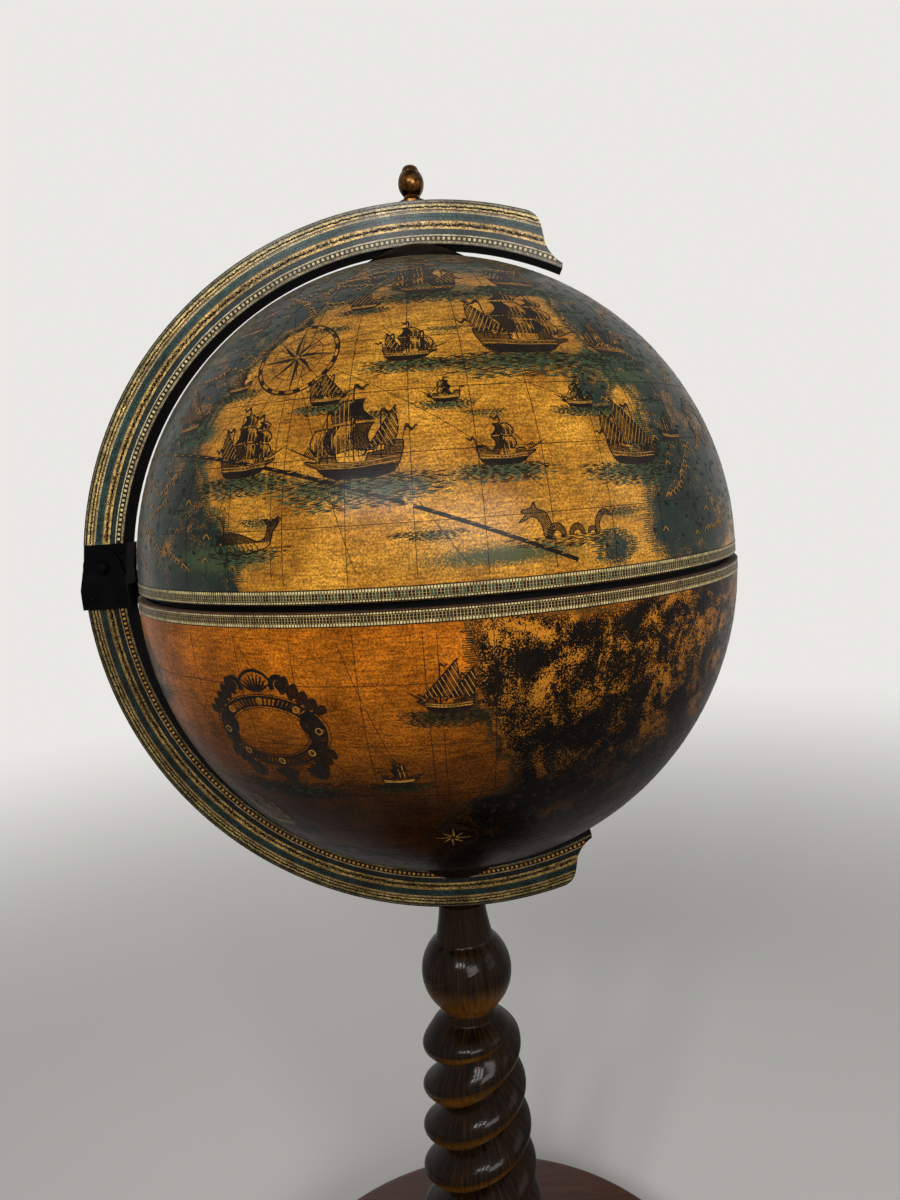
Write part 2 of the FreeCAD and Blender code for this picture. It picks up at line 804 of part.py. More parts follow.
def dome_hub():
    """Disc that stiffens the dome's pole."""
    hub = rod(hub_radius, dome_hub_bottom, dome_centre + dome_radius)
    hub = inside_ball(hub, dome_inside - glued_clearance, dome_centre)
    return hub.cut(rod(pivot_rod_radius + turning_clearance, rim, arc_centre + arc_outer))


def bowl_floor():
    """Disc that bottles and glasses stand on."""
    disc = rod(bowl_radius, floor_top - floor_thickness, floor_top)
    return inside_ball(disc, bowl_inside - glued_clearance, bowl_centre)


def well_places():
    """Wells of the deck as (x, y, radius): one in the middle, then bottles, then glasses."""
    spots = [(0.0, 0.0, centre_well_radius)]
    for number in range(bottle_wells):
        angle = first_bottle_angle + 360.0 * number / bottle_wells
        spots.append((bottle_ring_radius, angle, bottle_well_radius))
    for number in range(bottle_wells):
        middle = first_bottle_angle + 360.0 * (number + 0.5) / bottle_wells
        for offset in (-glass_spread, glass_spread):
            spots.append((glass_ring_radius, middle + offset, glass_well_radius))
    wells = []
    for ring, angle, radius in spots:
        turn = math.radians(angle)
        wells.append((ring * math.cos(turn), ring * math.sin(turn), radius))
    return wells


def tray_deck():
    """Deck with wells for bottles, glasses and an ice bucket."""
    deck = rod(bowl_radius, deck_bottom, deck_top)
    deck = inside_ball(deck, bowl_inside - glued_clearance, bowl_centre)
    for x, y, radius in well_places():
        deck = deck.cut(rod(radius, deck_bottom, deck_top, x, y))
    return rounded(
        deck,
        well_edge_round,
        lambda edge: at_height(edge, deck_top) and edge.Curve.Radius < 2 * centre_well_radius,
    )


def tray_ledge():
    """Ring glued in the bowl, that the deck lies on."""
    level = deck_bottom - ledge_height
    inside = math.sqrt(bowl_inside**2 - (bowl_centre - level) ** 2) - ledge_width
    ring = washer(inside, bowl_radius, level, deck_bottom)
    return inside_ball(ring, bowl_inside - glued_clearance, bowl_centre)


def dust_lip():
    """Ring on the deck's edge, that closes the gap between the halves from inside."""
    outside = bowl_radius - lip_inset
    inside = outside - lip_thickness
    foot = rod(bowl_radius, deck_top, rim - 2 * rim_round)
    foot = inside_ball(foot, bowl_inside - glued_clearance, bowl_centre)
    lip = rod(outside, deck_top, rim + lip_rise)
    return foot.fuse(lip).removeSplitter().cut(rod(inside, deck_top, rim + lip_rise))


# ---------------------------------------------------------------- castors
def placed_castor(shape, place):
    """A castor piece made about the Z axis, turned to its trailing direction and moved to its place."""
    copy = shape.copy()
    copy.rotate(V(0, 0, 0), Z_AXIS, castor_trail_angle)
    copy.translate(place)
    return copy


def castor_plate():
    """Square plate of one castor, under the base."""
    half = plate_side / 2
    low = castor_height - plate_thickness
    plate = Part.makeBox(plate_side, plate_side, plate_thickness, V(-half, -half, low))
    corners = [edge for edge in plate.Edges if edge.BoundBox.ZLength > plate_thickness / 2]
    plate = plate.makeFillet(plate_corner_radius, corners)
    plate = plate.cut(rod(stem_radius + turning_clearance, low, castor_height))
    for x, y in plate_screw_places():
        plate = plate.cut(rod(plate_screw_shank_radius, low, castor_height, x, y))
    return plate


def castor_plates():
    """All castor plates."""
    return Part.makeCompound([castor_plate().translated(place) for place in castor_places()])


def castor_plate_screws():
    """Pan-headed screws of every castor plate."""
    low = castor_height - plate_thickness
    solids = []
    for place in castor_places():
        for x, y in plate_screw_places():
            shank = rod(plate_screw_shank_radius, low, low + plate_screw_length, place.x + x, place.y + y)
            head = rod(plate_screw_head_radius, low - plate_screw_head_height, low, place.x + x, place.y + y)
            solids.append(shank.fuse(head))
    return Part.makeCompound(solids)


def castor_fork():
    """Fork that swivels on its riveted stem."""
    crown_top = castor_height - plate_thickness - swivel_gap
    crown_bottom = crown_top - crown_height
    half_gap = wheel_width / 2 + wheel_side_gap
    eye = axle_head_radius + 2.5
    arm = 0.65 * crown_radius
    cheek = face_xz(
        (-arm, crown_bottom + 1),
        ((arm, crown_bottom + 1),),
        ((trail + eye, crown_bottom - 4),),
        ((trail + eye, wheel_radius),),
        ((trail, wheel_radius - eye), (trail - eye, wheel_radius)),
        ((-arm, crown_bottom - 3),),
    )
    cheeks = both_faces(cheek, half_gap, half_gap + cheek_sheet)
    stem_top = castor_height + swivel_gap + stem_collar_height
    crown = rod(crown_radius, crown_bottom, crown_top)
    stem = rod(stem_radius, crown_bottom, stem_top)
    collar = rod(stem_collar_radius, stem_top - stem_collar_height, stem_top)
    fork = crown.fuse([*cheeks, stem, collar]).removeSplitter()
    return fork.cut(rod_y(axle_radius, -wheel_width, wheel_width, trail, wheel_radius))


def castor_axle():
    """Riveted axle of one castor."""
    half = wheel_width / 2 + wheel_side_gap + cheek_sheet
    pin = rod_y(axle_radius, -half, half, trail, wheel_radius)
    heads = [
        rod_y(axle_head_radius, low, low + axle_head_height, trail, wheel_radius)
        for low in (-half - axle_head_height, half)
    ]
    return pin.fuse(heads).removeSplitter()


def castor_wheel():
    """Nylon wheel with rounded tread and dished sides."""
    half = wheel_width / 2
    bore = axle_radius + wheel_bore_clearance
    shoulder = 3.0
    section = turned(
        (bore, -half),
        ((wheel_hub_radius, -half),),
        ((wheel_hub_radius + wheel_dish, -half + wheel_dish),),
        ((wheel_radius - shoulder - wheel_dish, -half + wheel_dish),),
        ((wheel_radius - shoulder, -half),),
        ((wheel_radius, 0), (wheel_radius - shoulder, half)),
        ((wheel_radius - shoulder - wheel_dish, half - wheel_dish),),
        ((wheel_hub_radius + wheel_dish, half - wheel_dish),),
        ((wheel_hub_radius, half),),
        ((bore, half),),
    )
    section.rotate(V(0, 0, 0), V(1, 0, 0), 90)
    section.translate(V(trail, 0, wheel_radius))
    return section


# ---------------------------------------------------------------- output
def write(name, shape):
    """Write one node's STEP file."""
    if not shape.isValid():
        raise ValueError(name + " is not a valid shape")
    shape.exportStep("parts/" + name + ".step")
    print(name, len(shape.Solids), "solids", round(shape.Volume), "mm3")


def main():
    """Build and write every node."""
    os.makedirs("parts", exist_ok=True)
    makers = [
        base_disc, foot_collar, column, tie_rod, tie_rod_washers, tie_rod_nuts,
        lower_arc, lower_boss, thrust_washer,
        hinge_channel, hinge_channel_screws, hinge_bolt, hinge_cap_nut, hinge_buffer,
        castor_plates, castor_plate_screws,
        bowl_shell, bowl_hub, bowl_floor, tray_ledge, tray_deck, dust_lip,
        upper_arc, hinge_shoe, hinge_shoe_screws, upper_boss,
        pivot_rod, pivot_washer, pivot_nut, finial,
        dome_shell, dome_hub,
    ]
    for maker in makers:
        write(maker.__name__, maker())
    castor_makers = {"castor_fork": castor_fork, "castor_axle": castor_axle, "castor_wheel": castor_wheel}
    for number, place in enumerate(castor_places(), start=1):
        for name, maker in castor_makers.items():
            write(f"{name}_{number}", placed_castor(maker(), place))


main()
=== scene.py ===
"""Floor globe bar: the finishes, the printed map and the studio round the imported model.

Lengths are in millimetres where a name ends in _mm or stands in a size field, and Blender's own
metres elsewhere. The globe's front, longitude 0, faces -Y.
"""

import logging
import math
from collections.abc import Iterable, Sequence
from dataclasses import dataclass, field
from enum import Enum

import bpy
import numpy as np
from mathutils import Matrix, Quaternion, Vector, noise
from mathutils.bvhtree import BVHTree


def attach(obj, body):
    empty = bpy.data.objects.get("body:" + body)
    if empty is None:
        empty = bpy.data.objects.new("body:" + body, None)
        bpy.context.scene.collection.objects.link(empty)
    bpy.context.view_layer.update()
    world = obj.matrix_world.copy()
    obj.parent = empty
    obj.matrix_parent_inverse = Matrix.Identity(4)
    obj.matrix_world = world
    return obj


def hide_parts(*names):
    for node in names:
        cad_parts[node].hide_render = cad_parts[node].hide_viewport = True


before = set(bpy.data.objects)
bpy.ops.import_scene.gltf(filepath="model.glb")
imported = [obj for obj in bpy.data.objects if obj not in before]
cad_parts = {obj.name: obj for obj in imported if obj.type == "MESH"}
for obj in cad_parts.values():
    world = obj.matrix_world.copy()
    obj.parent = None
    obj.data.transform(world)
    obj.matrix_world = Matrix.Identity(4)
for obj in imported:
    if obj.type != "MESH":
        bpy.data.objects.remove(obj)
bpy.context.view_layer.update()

log = logging.getLogger("floor_globe_bar")
MM = 0.001
Node = bpy.types.Node
Socket = bpy.types.NodeSocket
Tree = bpy.types.NodeTree
Inputs = dict[int | str, object]
Spot = tuple[float, float]
Point = tuple[float, float, float]
Path = Sequence[Spot] | np.ndarray


# ---------------------------------------------------------------- colours and shader nodes
def linear(colour: str) -> tuple[float, float, float, float]:
    """Turn an sRGB hex colour into linear light.

    Args:
        colour: six hex digits after a hash sign.

    Returns:
        Red, green and blue, each from 0 to 1, and full opacity.
    """
    parts = [int(colour[place:place + 2], 16) / 255 for place in (1, 3, 5)]
    light = [part / 12.92 if part <= 0.04045 else ((part + 0.055) / 1.055) ** 2.4 for part in parts]
    return (light[0], light[1], light[2], 1.0)


def feed(tree: Tree, node: Node, inputs: Inputs) -> None:
    """Fill a node's inputs.

    Args:
        tree: the nodes that it stands among.
        node: the node.
        inputs: a value, or an output or a node to link, for each input by name or number.
    """
    for key, value in inputs.items():
        if isinstance(value, Node):
            value = next(output for output in value.outputs if output.enabled)
        if isinstance(value, Socket):
            tree.links.new(value, node.inputs[key])
        else:
            node.inputs[key].default_value = value


def add(
    tree: Tree,
    kind: str,
    inputs: Inputs | None = None,
    stops: Sequence[tuple[float, str]] = (),
    **settings: object,
) -> Node:
    """Add one shader node.

    Args:
        tree: the material's nodes.
        kind: the node's type without its "ShaderNode" prefix.
        inputs: a value, or an output or a node to link, for each input by name or number.
        stops: places and hex colours of a stepped colour ramp.
        settings: the node's own properties.

    Returns:
        The new node.
    """
    made = tree.nodes.new("ShaderNode" + kind)
    for key, value in settings.items():
        setattr(made, key, value)
    feed(tree, made, inputs or {})
    if stops:
        ramp = made.color_ramp
        ramp.interpolation = "CONSTANT"
        while len(ramp.elements) < len(stops):
            ramp.elements.new(1.0)
        for element, (place, colour) in zip(ramp.elements, stops):
            element.position = place
        for element, (place, colour) in zip(ramp.elements, stops):
            element.color = linear(colour)
    return made


def new_material(name: str) -> tuple[bpy.types.Material, Tree, Node, Node]:
    """Start a material with a Principled shader.

    Args:
        name: the material's name.

    Returns:
        The material, its nodes, its Principled shader and its texture coordinates.
    """
    material = bpy.data.materials.new(name)
    material.use_nodes = True
    tree = material.node_tree
    tree.nodes.clear()
    shader = add(tree, "BsdfPrincipled")
    add(tree, "OutputMaterial", {"Surface": shader})
    return material, tree, shader, add(tree, "TexCoord")


def two_tone(tree: Tree, pattern: Node, low: float, high: float, dark: str, light: str) -> Node:
    """Mix two colours by a pattern.

    Args:
        tree: the material's nodes.
        pattern: the pattern.
        low: its value where the dark colour is pure.
        high: its value where the light colour is pure.
        dark: the dark colour.
        light: the light colour.

    Returns:
        The mixed colour.
    """
    share = add(tree, "MapRange", {"Value": pattern, "From Min": low, "From Max": high})
    return add(tree, "Mix", {0: share, 6: linear(dark), 7: linear(light)}, data_type="RGBA")


def shaded(tree: Tree, colour: Node, pattern: Node, low: float, high: float, least: float) -> Node:
    """Darken a colour in the hollows of a fine pattern.

    Args:
        tree: the material's nodes.
        colour: the colour.
        pattern: the pattern.
        low: its value in the darkest hollows.
        high: its value where the colour stays as it is.
        least: the share of the colour that is left in the hollows.

    Returns:
        The shaded colour.
    """
    share = add(tree, "MapRange", {"Value": pattern, "From Min": low, "From Max": high, "To Min": least})
    return add(tree, "Mix", {0: 1.0, 6: colour, 7: share}, data_type="RGBA", blend_type="MULTIPLY")


def clear_coat(specular: float, coat: float, roughness: float) -> Inputs:
    """Give a shader's inputs for clear varnish or lacquer.

    Args:
        specular: the ground's own sheen.
        coat: the coat's weight.
        roughness: the coat's roughness.

    Returns:
        A value for each input by name.
    """
    return {
        "IOR": 1.5, "Specular IOR Level": specular, "Coat Weight": coat, "Coat Roughness": roughness,
    }


# ---------------------------------------------------------------- finishes
@dataclass(frozen=True)
class VarnishedMapPaper:
    """Printed paper under brushed varnish, over a pressed shell.

    The varnish lays a broad soft sheen over warm ochre, and the wet-in-wet tints end in speckled edges.
    The paper's colour is darkened from one height to another: painted shade, towards the top of the dome
    and the bottom of the bowl.
    """

    name: str
    sea_light: str
    sea_dark: str
    land_dark: str
    land_green: str
    land_patch: str
    wash: str
    # Painted shade: how much the colour is darkened, and the two heights in metres between which it sets
    # in.
    painted_shade: float
    painted_shade_high: float
    painted_shade_low: float
    bare: float
    patch_mm: float
    specular: float = 0.07
    coat: float = 0.08
    roughness: float = 0.34
    mottle_mm: float = 34.0  # clouds in the aged varnish
    laid_mm: float = 1.1  # laid lines of handmade paper, which really lie about 1 mm apart
    speck_mm: float = 0.75  # grain in the edges of the tints, three times as coarse as real, to show
    brush_mm: float = 6.0  # strokes of a soft varnish brush

    def material(self) -> bpy.types.Material:
        """Build the paper, which reads the "land" and "wash" values of the sheet it covers.

        Returns:
            The material.
        """
        material, tree, shader, coordinates = new_material(self.name)
        place = coordinates.outputs["Object"]
        land = add(tree, "Attribute", attribute_name="land").outputs["Fac"]
        wash = add(tree, "Attribute", attribute_name="wash").outputs["Fac"]
        size = 1000 / self.mottle_mm
        mottle = add(tree, "TexNoise", {"Vector": place, "Scale": size, "Detail": 5.0, "Roughness": 0.62})
        sea = two_tone(tree, mottle, 0.34, 0.66, self.sea_dark, self.sea_light)
        earth = two_tone(tree, mottle, 0.34, 0.66, self.land_dark, self.land_green)

        size = 1000 / self.laid_mm
        grain = add(tree, "TexNoise", {"Vector": place, "Scale": size, "Detail": 2.0, "Roughness": 0.7})
        fine = add(tree, "MapRange", {"Value": grain, "From Min": 0.4, "From Max": 0.6, "To Min": 0.38})
        level = add(tree, "VectorMath", {0: place, 1: (0.11, 0.11, 1.0)}, operation="MULTIPLY")
        thread = add(tree, "TexNoise", {"Vector": level, "Scale": size, "Detail": 2.0})
        laid = add(tree, "MapRange", {"Value": thread, "From Min": 0.38, "From Max": 0.58, "To Min": 0.6})
        fine = add(tree, "Math", {0: fine, 1: laid}, operation="MULTIPLY")
        sea = add(tree, "Mix", {0: 1.0, 6: sea, 7: fine}, data_type="RGBA", blend_type="MULTIPLY")

        speck = add(tree, "TexNoise", {"Vector": place, "Scale": 1000 / self.speck_mm, "Detail": 1.0})
        speckle = add(tree, "Math", {0: speck, 1: 0.5}, operation="SUBTRACT")
        strewn = add(tree, "Math", {0: speckle, 1: 0.55, 2: land}, operation="MULTIPLY_ADD")
        ground = add(tree, "MapRange", {"Value": strewn, "From Min": -0.03, "From Max": 0.05})
        size = 1000 / self.patch_mm
        patch = add(
            tree,
            "TexNoise",
            {"Vector": place, "Scale": size, "Detail": 6.0, "Roughness": 0.68, "Distortion": 0.5},
        )
        showing = add(tree, "Math", {0: speckle, 1: 0.65, 2: patch}, operation="MULTIPLY_ADD")
        edges = {"From Min": self.bare, "From Max": self.bare + 0.09, "To Max": 0.9}
        bare = add(tree, "MapRange", {"Value": showing, **edges})
        earth = add(tree, "Mix", {0: bare, 6: earth, 7: linear(self.land_patch)}, data_type="RGBA")
        colour = add(tree, "Mix", {0: ground, 6: sea, 7: earth}, data_type="RGBA")

        wet = add(tree, "Math", {0: speckle, 1: 1.5, 2: wash}, operation="MULTIPLY_ADD")
        wet = add(tree, "MapRange", {"Value": wet, "From Min": 0.16, "From Max": 0.62, "To Max": 0.95})
        colour = add(tree, "Mix", {0: wet, 6: colour, 7: linear(self.wash)}, data_type="RGBA")
        # Painted shade: the colour darkens smoothly between two heights.
        height = add(tree, "SeparateXYZ", {0: place}).outputs["Z"]
        heights = {"From Min": self.painted_shade_high, "From Max": self.painted_shade_low}
        painted_shade_factor = add(
            tree,
            "MapRange",
            {"Value": height, **heights, "To Min": 1.0, "To Max": 1.0 - self.painted_shade},
            interpolation_type="SMOOTHSTEP",
        )
        colour = add(tree, "Mix", {0: 1.0, 6: colour, 7: painted_shade_factor}, data_type="RGBA", blend_type="MULTIPLY")

        brushed = add(tree, "TexNoise", {"Vector": place, "Scale": 1000 / self.brush_mm, "Detail": 3.0})
        least, most = self.roughness - 0.06, self.roughness + 0.08
        look = {
            "Base Color": colour,
            "Roughness": add(tree, "MapRange", {"Value": brushed, "To Min": least, "To Max": most}),
            "Normal": add(tree, "Bump", {"Height": brushed, "Strength": 0.10, "Distance": 0.0004}),
            **clear_coat(self.specular, self.coat, 0.2),
        }
        feed(tree, shader, look)
        return material


@dataclass(frozen=True)
class PrintersInk:
    """Copperplate ink under the same varnish, so its sheen runs on from the paper's."""

    name: str
    colour: str
    worn: str
    press_mm: float = 4.0  # patches that the plate pressed less

    def material(self) -> bpy.types.Material:
        """Build the ink, a little uneven where the plate pressed less.

        Returns:
            The material.
        """
        material, tree, shader, coordinates = new_material(self.name)
        place = coordinates.outputs["Object"]
        uneven = add(tree, "TexNoise", {"Vector": place, "Scale": 1000 / self.press_mm, "Detail": 3.0})
        look = {
            "Base Color": two_tone(tree, uneven, 0.4, 0.7, self.colour, self.worn),
            "Roughness": 0.36,
            **clear_coat(0.05, 0.06, 0.2),
        }
        feed(tree, shader, look)
        return material


@dataclass(frozen=True)
class StripedArcPaper:
    """Ruled and tinted paper strip, varnished, on a black-painted bentwood arc."""

    name: str
    centre_z: float
    outer: float
    # Brightness of the whole strip: painted glare on the upper arc, painted shade on the lower.
    stain_and_painted_light: float
    gloss: float
    width_mm: float = 28.0
    wobble_mm: float = 9.0  # how far apart a ruled edge wanders
    swing: float = 0.0005
    age_mm: float = 14.0  # stains of handling
    grain_mm: float = 1.2  # fibres of the paper, twice as coarse as real, to show
    edge: str = "#080605"
    stripes: tuple[tuple[float, str], ...] = (
        (0.0, "#100c08"), (0.6, "#6e6446"), (1.5, "#3a3020"), (2.6, "#a8935c"), (3.3, "#c4a868"),
        (6.0, "#54301a"), (6.9, "#b5a06c"), (7.9, "#141c1a"), (8.4, "#2c433f"), (12.9, "#0f0d09"),
        (13.4, "#bd9a5a"), (18.3, "#0f0e0b"), (18.9, "#222f2c"), (21.9, "#b8a988"), (22.7, "#120c06"),
        (26.0, "#8d7d58"), (27.4, "#0c0906"),
    )

    def material(self) -> bpy.types.Material:
        """Build the strip: colour by distance from the arc's outside, black on the edges.

        Returns:
            The material.
        """
        material, tree, shader, coordinates = new_material(self.name)
        place = coordinates.outputs["Object"]
        off = add(tree, "VectorMath", {0: place, 1: (0.0, 0.0, self.centre_z)}, operation="SUBTRACT")
        flat = add(tree, "VectorMath", {0: off, 1: (1.0, 0.0, 1.0)}, operation="MULTIPLY")
        radius = add(tree, "VectorMath", {0: flat}, operation="LENGTH")
        wobble = add(tree, "TexNoise", {"Vector": place, "Scale": 1000 / self.wobble_mm, "Detail": 3.0})
        drift = {0: wobble, 1: self.swing, 2: self.outer - self.swing / 2}
        shift = add(tree, "Math", drift, operation="MULTIPLY_ADD")
        depth = add(tree, "Math", {0: shift, 1: radius}, operation="SUBTRACT")
        share = add(tree, "Math", {0: depth, 1: 1000 / self.width_mm}, operation="MULTIPLY")
        stops = [(at / self.width_mm, colour) for at, colour in self.stripes]
        ramp = add(tree, "ValToRGB", {"Fac": share}, stops)
        size = 1000 / self.age_mm
        aged = add(tree, "TexNoise", {"Vector": place, "Scale": size, "Detail": 6.0, "Roughness": 0.7})
        # The stains of handling are scaled by the arc's brightness, which is painted light.
        tones = {"To Min": 0.42 * self.stain_and_painted_light, "To Max": 1.25 * self.stain_and_painted_light}
        stain_and_painted_light = add(tree, "MapRange", {"Value": aged, "From Min": 0.38, "From Max": 0.62, **tones})
        grain = add(tree, "TexNoise", {"Vector": place, "Scale": 1000 / self.grain_mm, "Detail": 3.0})
        fine = add(tree, "MapRange", {"Value": grain, "From Min": 0.38, "From Max": 0.56, "To Min": 0.3})
        stain_and_painted_light = add(tree, "Math", {0: stain_and_painted_light, 1: fine}, operation="MULTIPLY")
        strip = add(tree, "Mix", {0: 1.0, 6: ramp, 7: stain_and_painted_light}, data_type="RGBA", blend_type="MULTIPLY")
        side = add(tree, "SeparateXYZ", {0: coordinates.outputs["Normal"]})
        facing = add(tree, "Math", {0: side.outputs["Y"]}, operation="ABSOLUTE")
        faced = add(tree, "Math", {0: facing, 1: 0.7}, operation="GREATER_THAN")
        look = {
            "Base Color": add(tree, "Mix", {0: faced, 6: linear(self.edge), 7: strip}, data_type="RGBA"),
            "Roughness": add(tree, "MapRange", {"Value": faced, "To Min": 0.85, "To Max": 0.36}),
            "Normal": add(tree, "Bump", {"Height": aged, "Strength": 0.08, "Distance": 0.0004}),
            **clear_coat(0.05, 0.0, 0.16),
            "Coat Weight": add(tree, "MapRange", {"Value": faced, "To Min": 0.0, "To Max": self.gloss}),
        }
        feed(tree, shader, look)
        return material


@dataclass(frozen=True)
class StainedTurnedWood:
    """Oak stained walnut and turned, under gloss lacquer.

    The colour is dark on faces that turn up or sideways, and lighter and more orange on faces that turn
    down under the beads: painted reflected light.
    """

    name: str
    heavy: str
    # The lighter colour, shown by the grain's streaks and by the painted glow under the beads.
    grain_and_painted_glow: str
    # How far faces that turn down are lightened: painted reflected light.
    painted_glow: float = 1.0
    roughness: float = 0.3
    coat: float = 0.07
    grain_mm: float = 1.7  # width of oak's growth rings
    pore_mm: float = 0.9  # open pores, three times as coarse as real, to show
    cloud_mm: float = 30.0  # blotches in the painted glow under the beads
    girth: float = 0.035

    def material(self) -> bpy.types.Material:
        """Build the wood, its grain along the axis of turning.

        Returns:
            The material.
        """
        material, tree, shader, coordinates = new_material(self.name)
        place = coordinates.outputs["Object"]
        flat = add(tree, "VectorMath", {0: place, 1: (1.0, 1.0, 0.0)}, operation="MULTIPLY")
        outward = add(tree, "VectorMath", {0: flat}, operation="NORMALIZE")
        girth = add(tree, "VectorMath", {0: outward, 1: (self.girth,) * 3}, operation="MULTIPLY")
        upright = add(tree, "VectorMath", {0: place, 1: (0.12, 0.12, 0.05)}, operation="MULTIPLY")
        drawn = add(tree, "VectorMath", {0: girth, 1: upright}, operation="ADD")
        size = 1000 / self.grain_mm
        grain = add(tree, "TexNoise", {"Vector": drawn, "Scale": size, "Detail": 4.0, "Roughness": 0.6})
        pores = add(tree, "TexNoise", {"Vector": drawn, "Scale": 1000 / self.pore_mm, "Detail": 2.0})
        cloud = add(tree, "TexNoise", {"Vector": place, "Scale": 1000 / self.cloud_mm, "Detail": 3.0})
        # Painted reflected light: faces that turn down are lifted towards the lighter colour, in blotches.
        upward = add(tree, "SeparateXYZ", {0: coordinates.outputs["Normal"]}).outputs["Z"]
        most = {"To Min": 0.0, "To Max": self.painted_glow}
        under = add(tree, "MapRange", {"Value": upward, "From Min": 0.0, "From Max": -0.7, **most})
        blotch = add(tree, "MapRange", {"Value": cloud, "From Min": 0.3, "From Max": 0.7, "To Min": 0.45})
        painted_glow = add(tree, "Math", {0: under, 1: blotch}, operation="MULTIPLY")
        most = {"From Min": 0.42, "From Max": 0.66, "To Max": 0.13}
        streak = add(tree, "MapRange", {"Value": grain, **most})
        lift = add(tree, "Math", {0: painted_glow, 1: streak}, operation="ADD", use_clamp=True)
        tones = {6: linear(self.heavy), 7: linear(self.grain_and_painted_glow)}
        colour = add(tree, "Mix", {0: lift, **tones}, data_type="RGBA")
        look = {
            "Base Color": shaded(tree, colour, pores, 0.36, 0.56, 0.5),
            "Normal": add(tree, "Bump", {"Height": pores, "Strength": 0.04, "Distance": 0.0003}),
            "Roughness": self.roughness,
            **clear_coat(0.02, self.coat, 0.12),
        }
        feed(tree, shader, look)
        return material


@dataclass(frozen=True)
class StainedFlatWood:
    """Veneered board, stained and sprayed satin: long straight grain across the disc."""

    name: str
    dark: str
    light: str
    grain_mm: float = 5.0
    roughness: float = 0.38
    pore_mm: float = 0.8  # mahogany's pores, three times as coarse as real, to show

    def material(self) -> bpy.types.Material:
        """Build the board, its grain along X.

        Returns:
            The material.
        """
        material, tree, shader, coordinates = new_material(self.name)
        place = coordinates.outputs["Object"]
        drawn = add(tree, "VectorMath", {0: place, 1: (0.06, 1.0, 1.0)}, operation="MULTIPLY")
        size = 1000 / self.grain_mm
        grain = add(
            tree,
            "TexNoise",
            {"Vector": drawn, "Scale": size, "Detail": 6.0, "Roughness": 0.62, "Distortion": 0.4},
        )
        pores = add(tree, "TexNoise", {"Vector": drawn, "Scale": 1000 / self.pore_mm, "Detail": 2.0})
        colour = two_tone(tree, grain, 0.35, 0.66, self.dark, self.light)
        look = {
            "Base Color": shaded(tree, colour, pores, 0.35, 0.5, 0.7),
            "Normal": add(tree, "Bump", {"Height": pores, "Strength": 0.08, "Distance": 0.0003}),
            "Roughness": self.roughness,
            **clear_coat(0.05, 0.06, 0.25),
        }
        feed(tree, shader, look)
        return material


@dataclass(frozen=True)
class Painted:
    """Paint, enamel, rubber or moulded plastic: one colour with the fine texture of how it was laid."""

    name: str
    colour: str
    worn: str
    roughness: float
    texture_mm: float
    relief: float
    specular: float = 0.3
    cloud_mm: float = 18.0  # bloom of handling and dust

    def material(self) -> bpy.types.Material:
        """Build the coat with its orange peel or mould grain.

        Returns:
            The material.
        """
        material, tree, shader, coordinates = new_material(self.name)
        place = coordinates.outputs["Object"]
        peel = add(tree, "TexNoise", {"Vector": place, "Scale": 1000 / self.texture_mm, "Detail": 2.0})
        cloud = add(tree, "TexNoise", {"Vector": place, "Scale": 1000 / self.cloud_mm, "Detail": 4.0})
        least, most = self.roughness - 0.05, self.roughness + 0.08
        look = {
            "Base Color": two_tone(tree, cloud, 0.4, 0.7, self.colour, self.worn),
            "Roughness": add(tree, "MapRange", {"Value": cloud, "To Min": least, "To Max": most}),
            "Normal": add(tree, "Bump", {"Height": peel, "Strength": self.relief, "Distance": 0.0003}),
            **clear_coat(self.specular, 0.0, 0.1),
        }
        feed(tree, shader, look)
        return material


@dataclass(frozen=True)
class PlatedMetal:
    """Metal, plated or lacquered, with patches of darker bloom."""

    name: str
    bright: str
    dull: str
    roughness: float
    bloom_mm: float = 4.0  # patches of tarnish, or spangles of zinc

    def material(self) -> bpy.types.Material:
        """Build the metal.

        Returns:
            The material.
        """
        material, tree, shader, coordinates = new_material(self.name)
        place, size = coordinates.outputs["Object"], 1000 / self.bloom_mm
        bloom = add(tree, "TexNoise", {"Vector": place, "Scale": size, "Detail": 5.0, "Roughness": 0.65})
        least, most = self.roughness + 0.12, self.roughness - 0.06
        look = {
            "Base Color": two_tone(tree, bloom, 0.38, 0.62, self.dull, self.bright),
            "Roughness": add(tree, "MapRange", {"Value": bloom, "To Min": least, "To Max": most}),
            "Metallic": 1.0,
        }
        feed(tree, shader, look)
        return material


def dress(names: Iterable[str], material: bpy.types.Material) -> None:
    """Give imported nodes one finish.

    Args:
        names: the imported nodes.
        material: their finish.
    """
    for name in names:
        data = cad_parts[name].data
        data.materials.clear()
        data.materials.append(material)
        log.info("%s: %s", name, material.name)


Wears = tuple[tuple[StainedTurnedWood | StainedFlatWood | Painted | PlatedMetal, tuple[str, ...]], ...]


@dataclass
class Dressed:
    """A sub-assembly that keeps the model's shapes and gives each group of its nodes a finish."""

    wears: Wears = ()

    def build(self) -> None:
        """Dress every group of nodes."""
        for finish, names in self.wears:
            dress(names, finish.material())


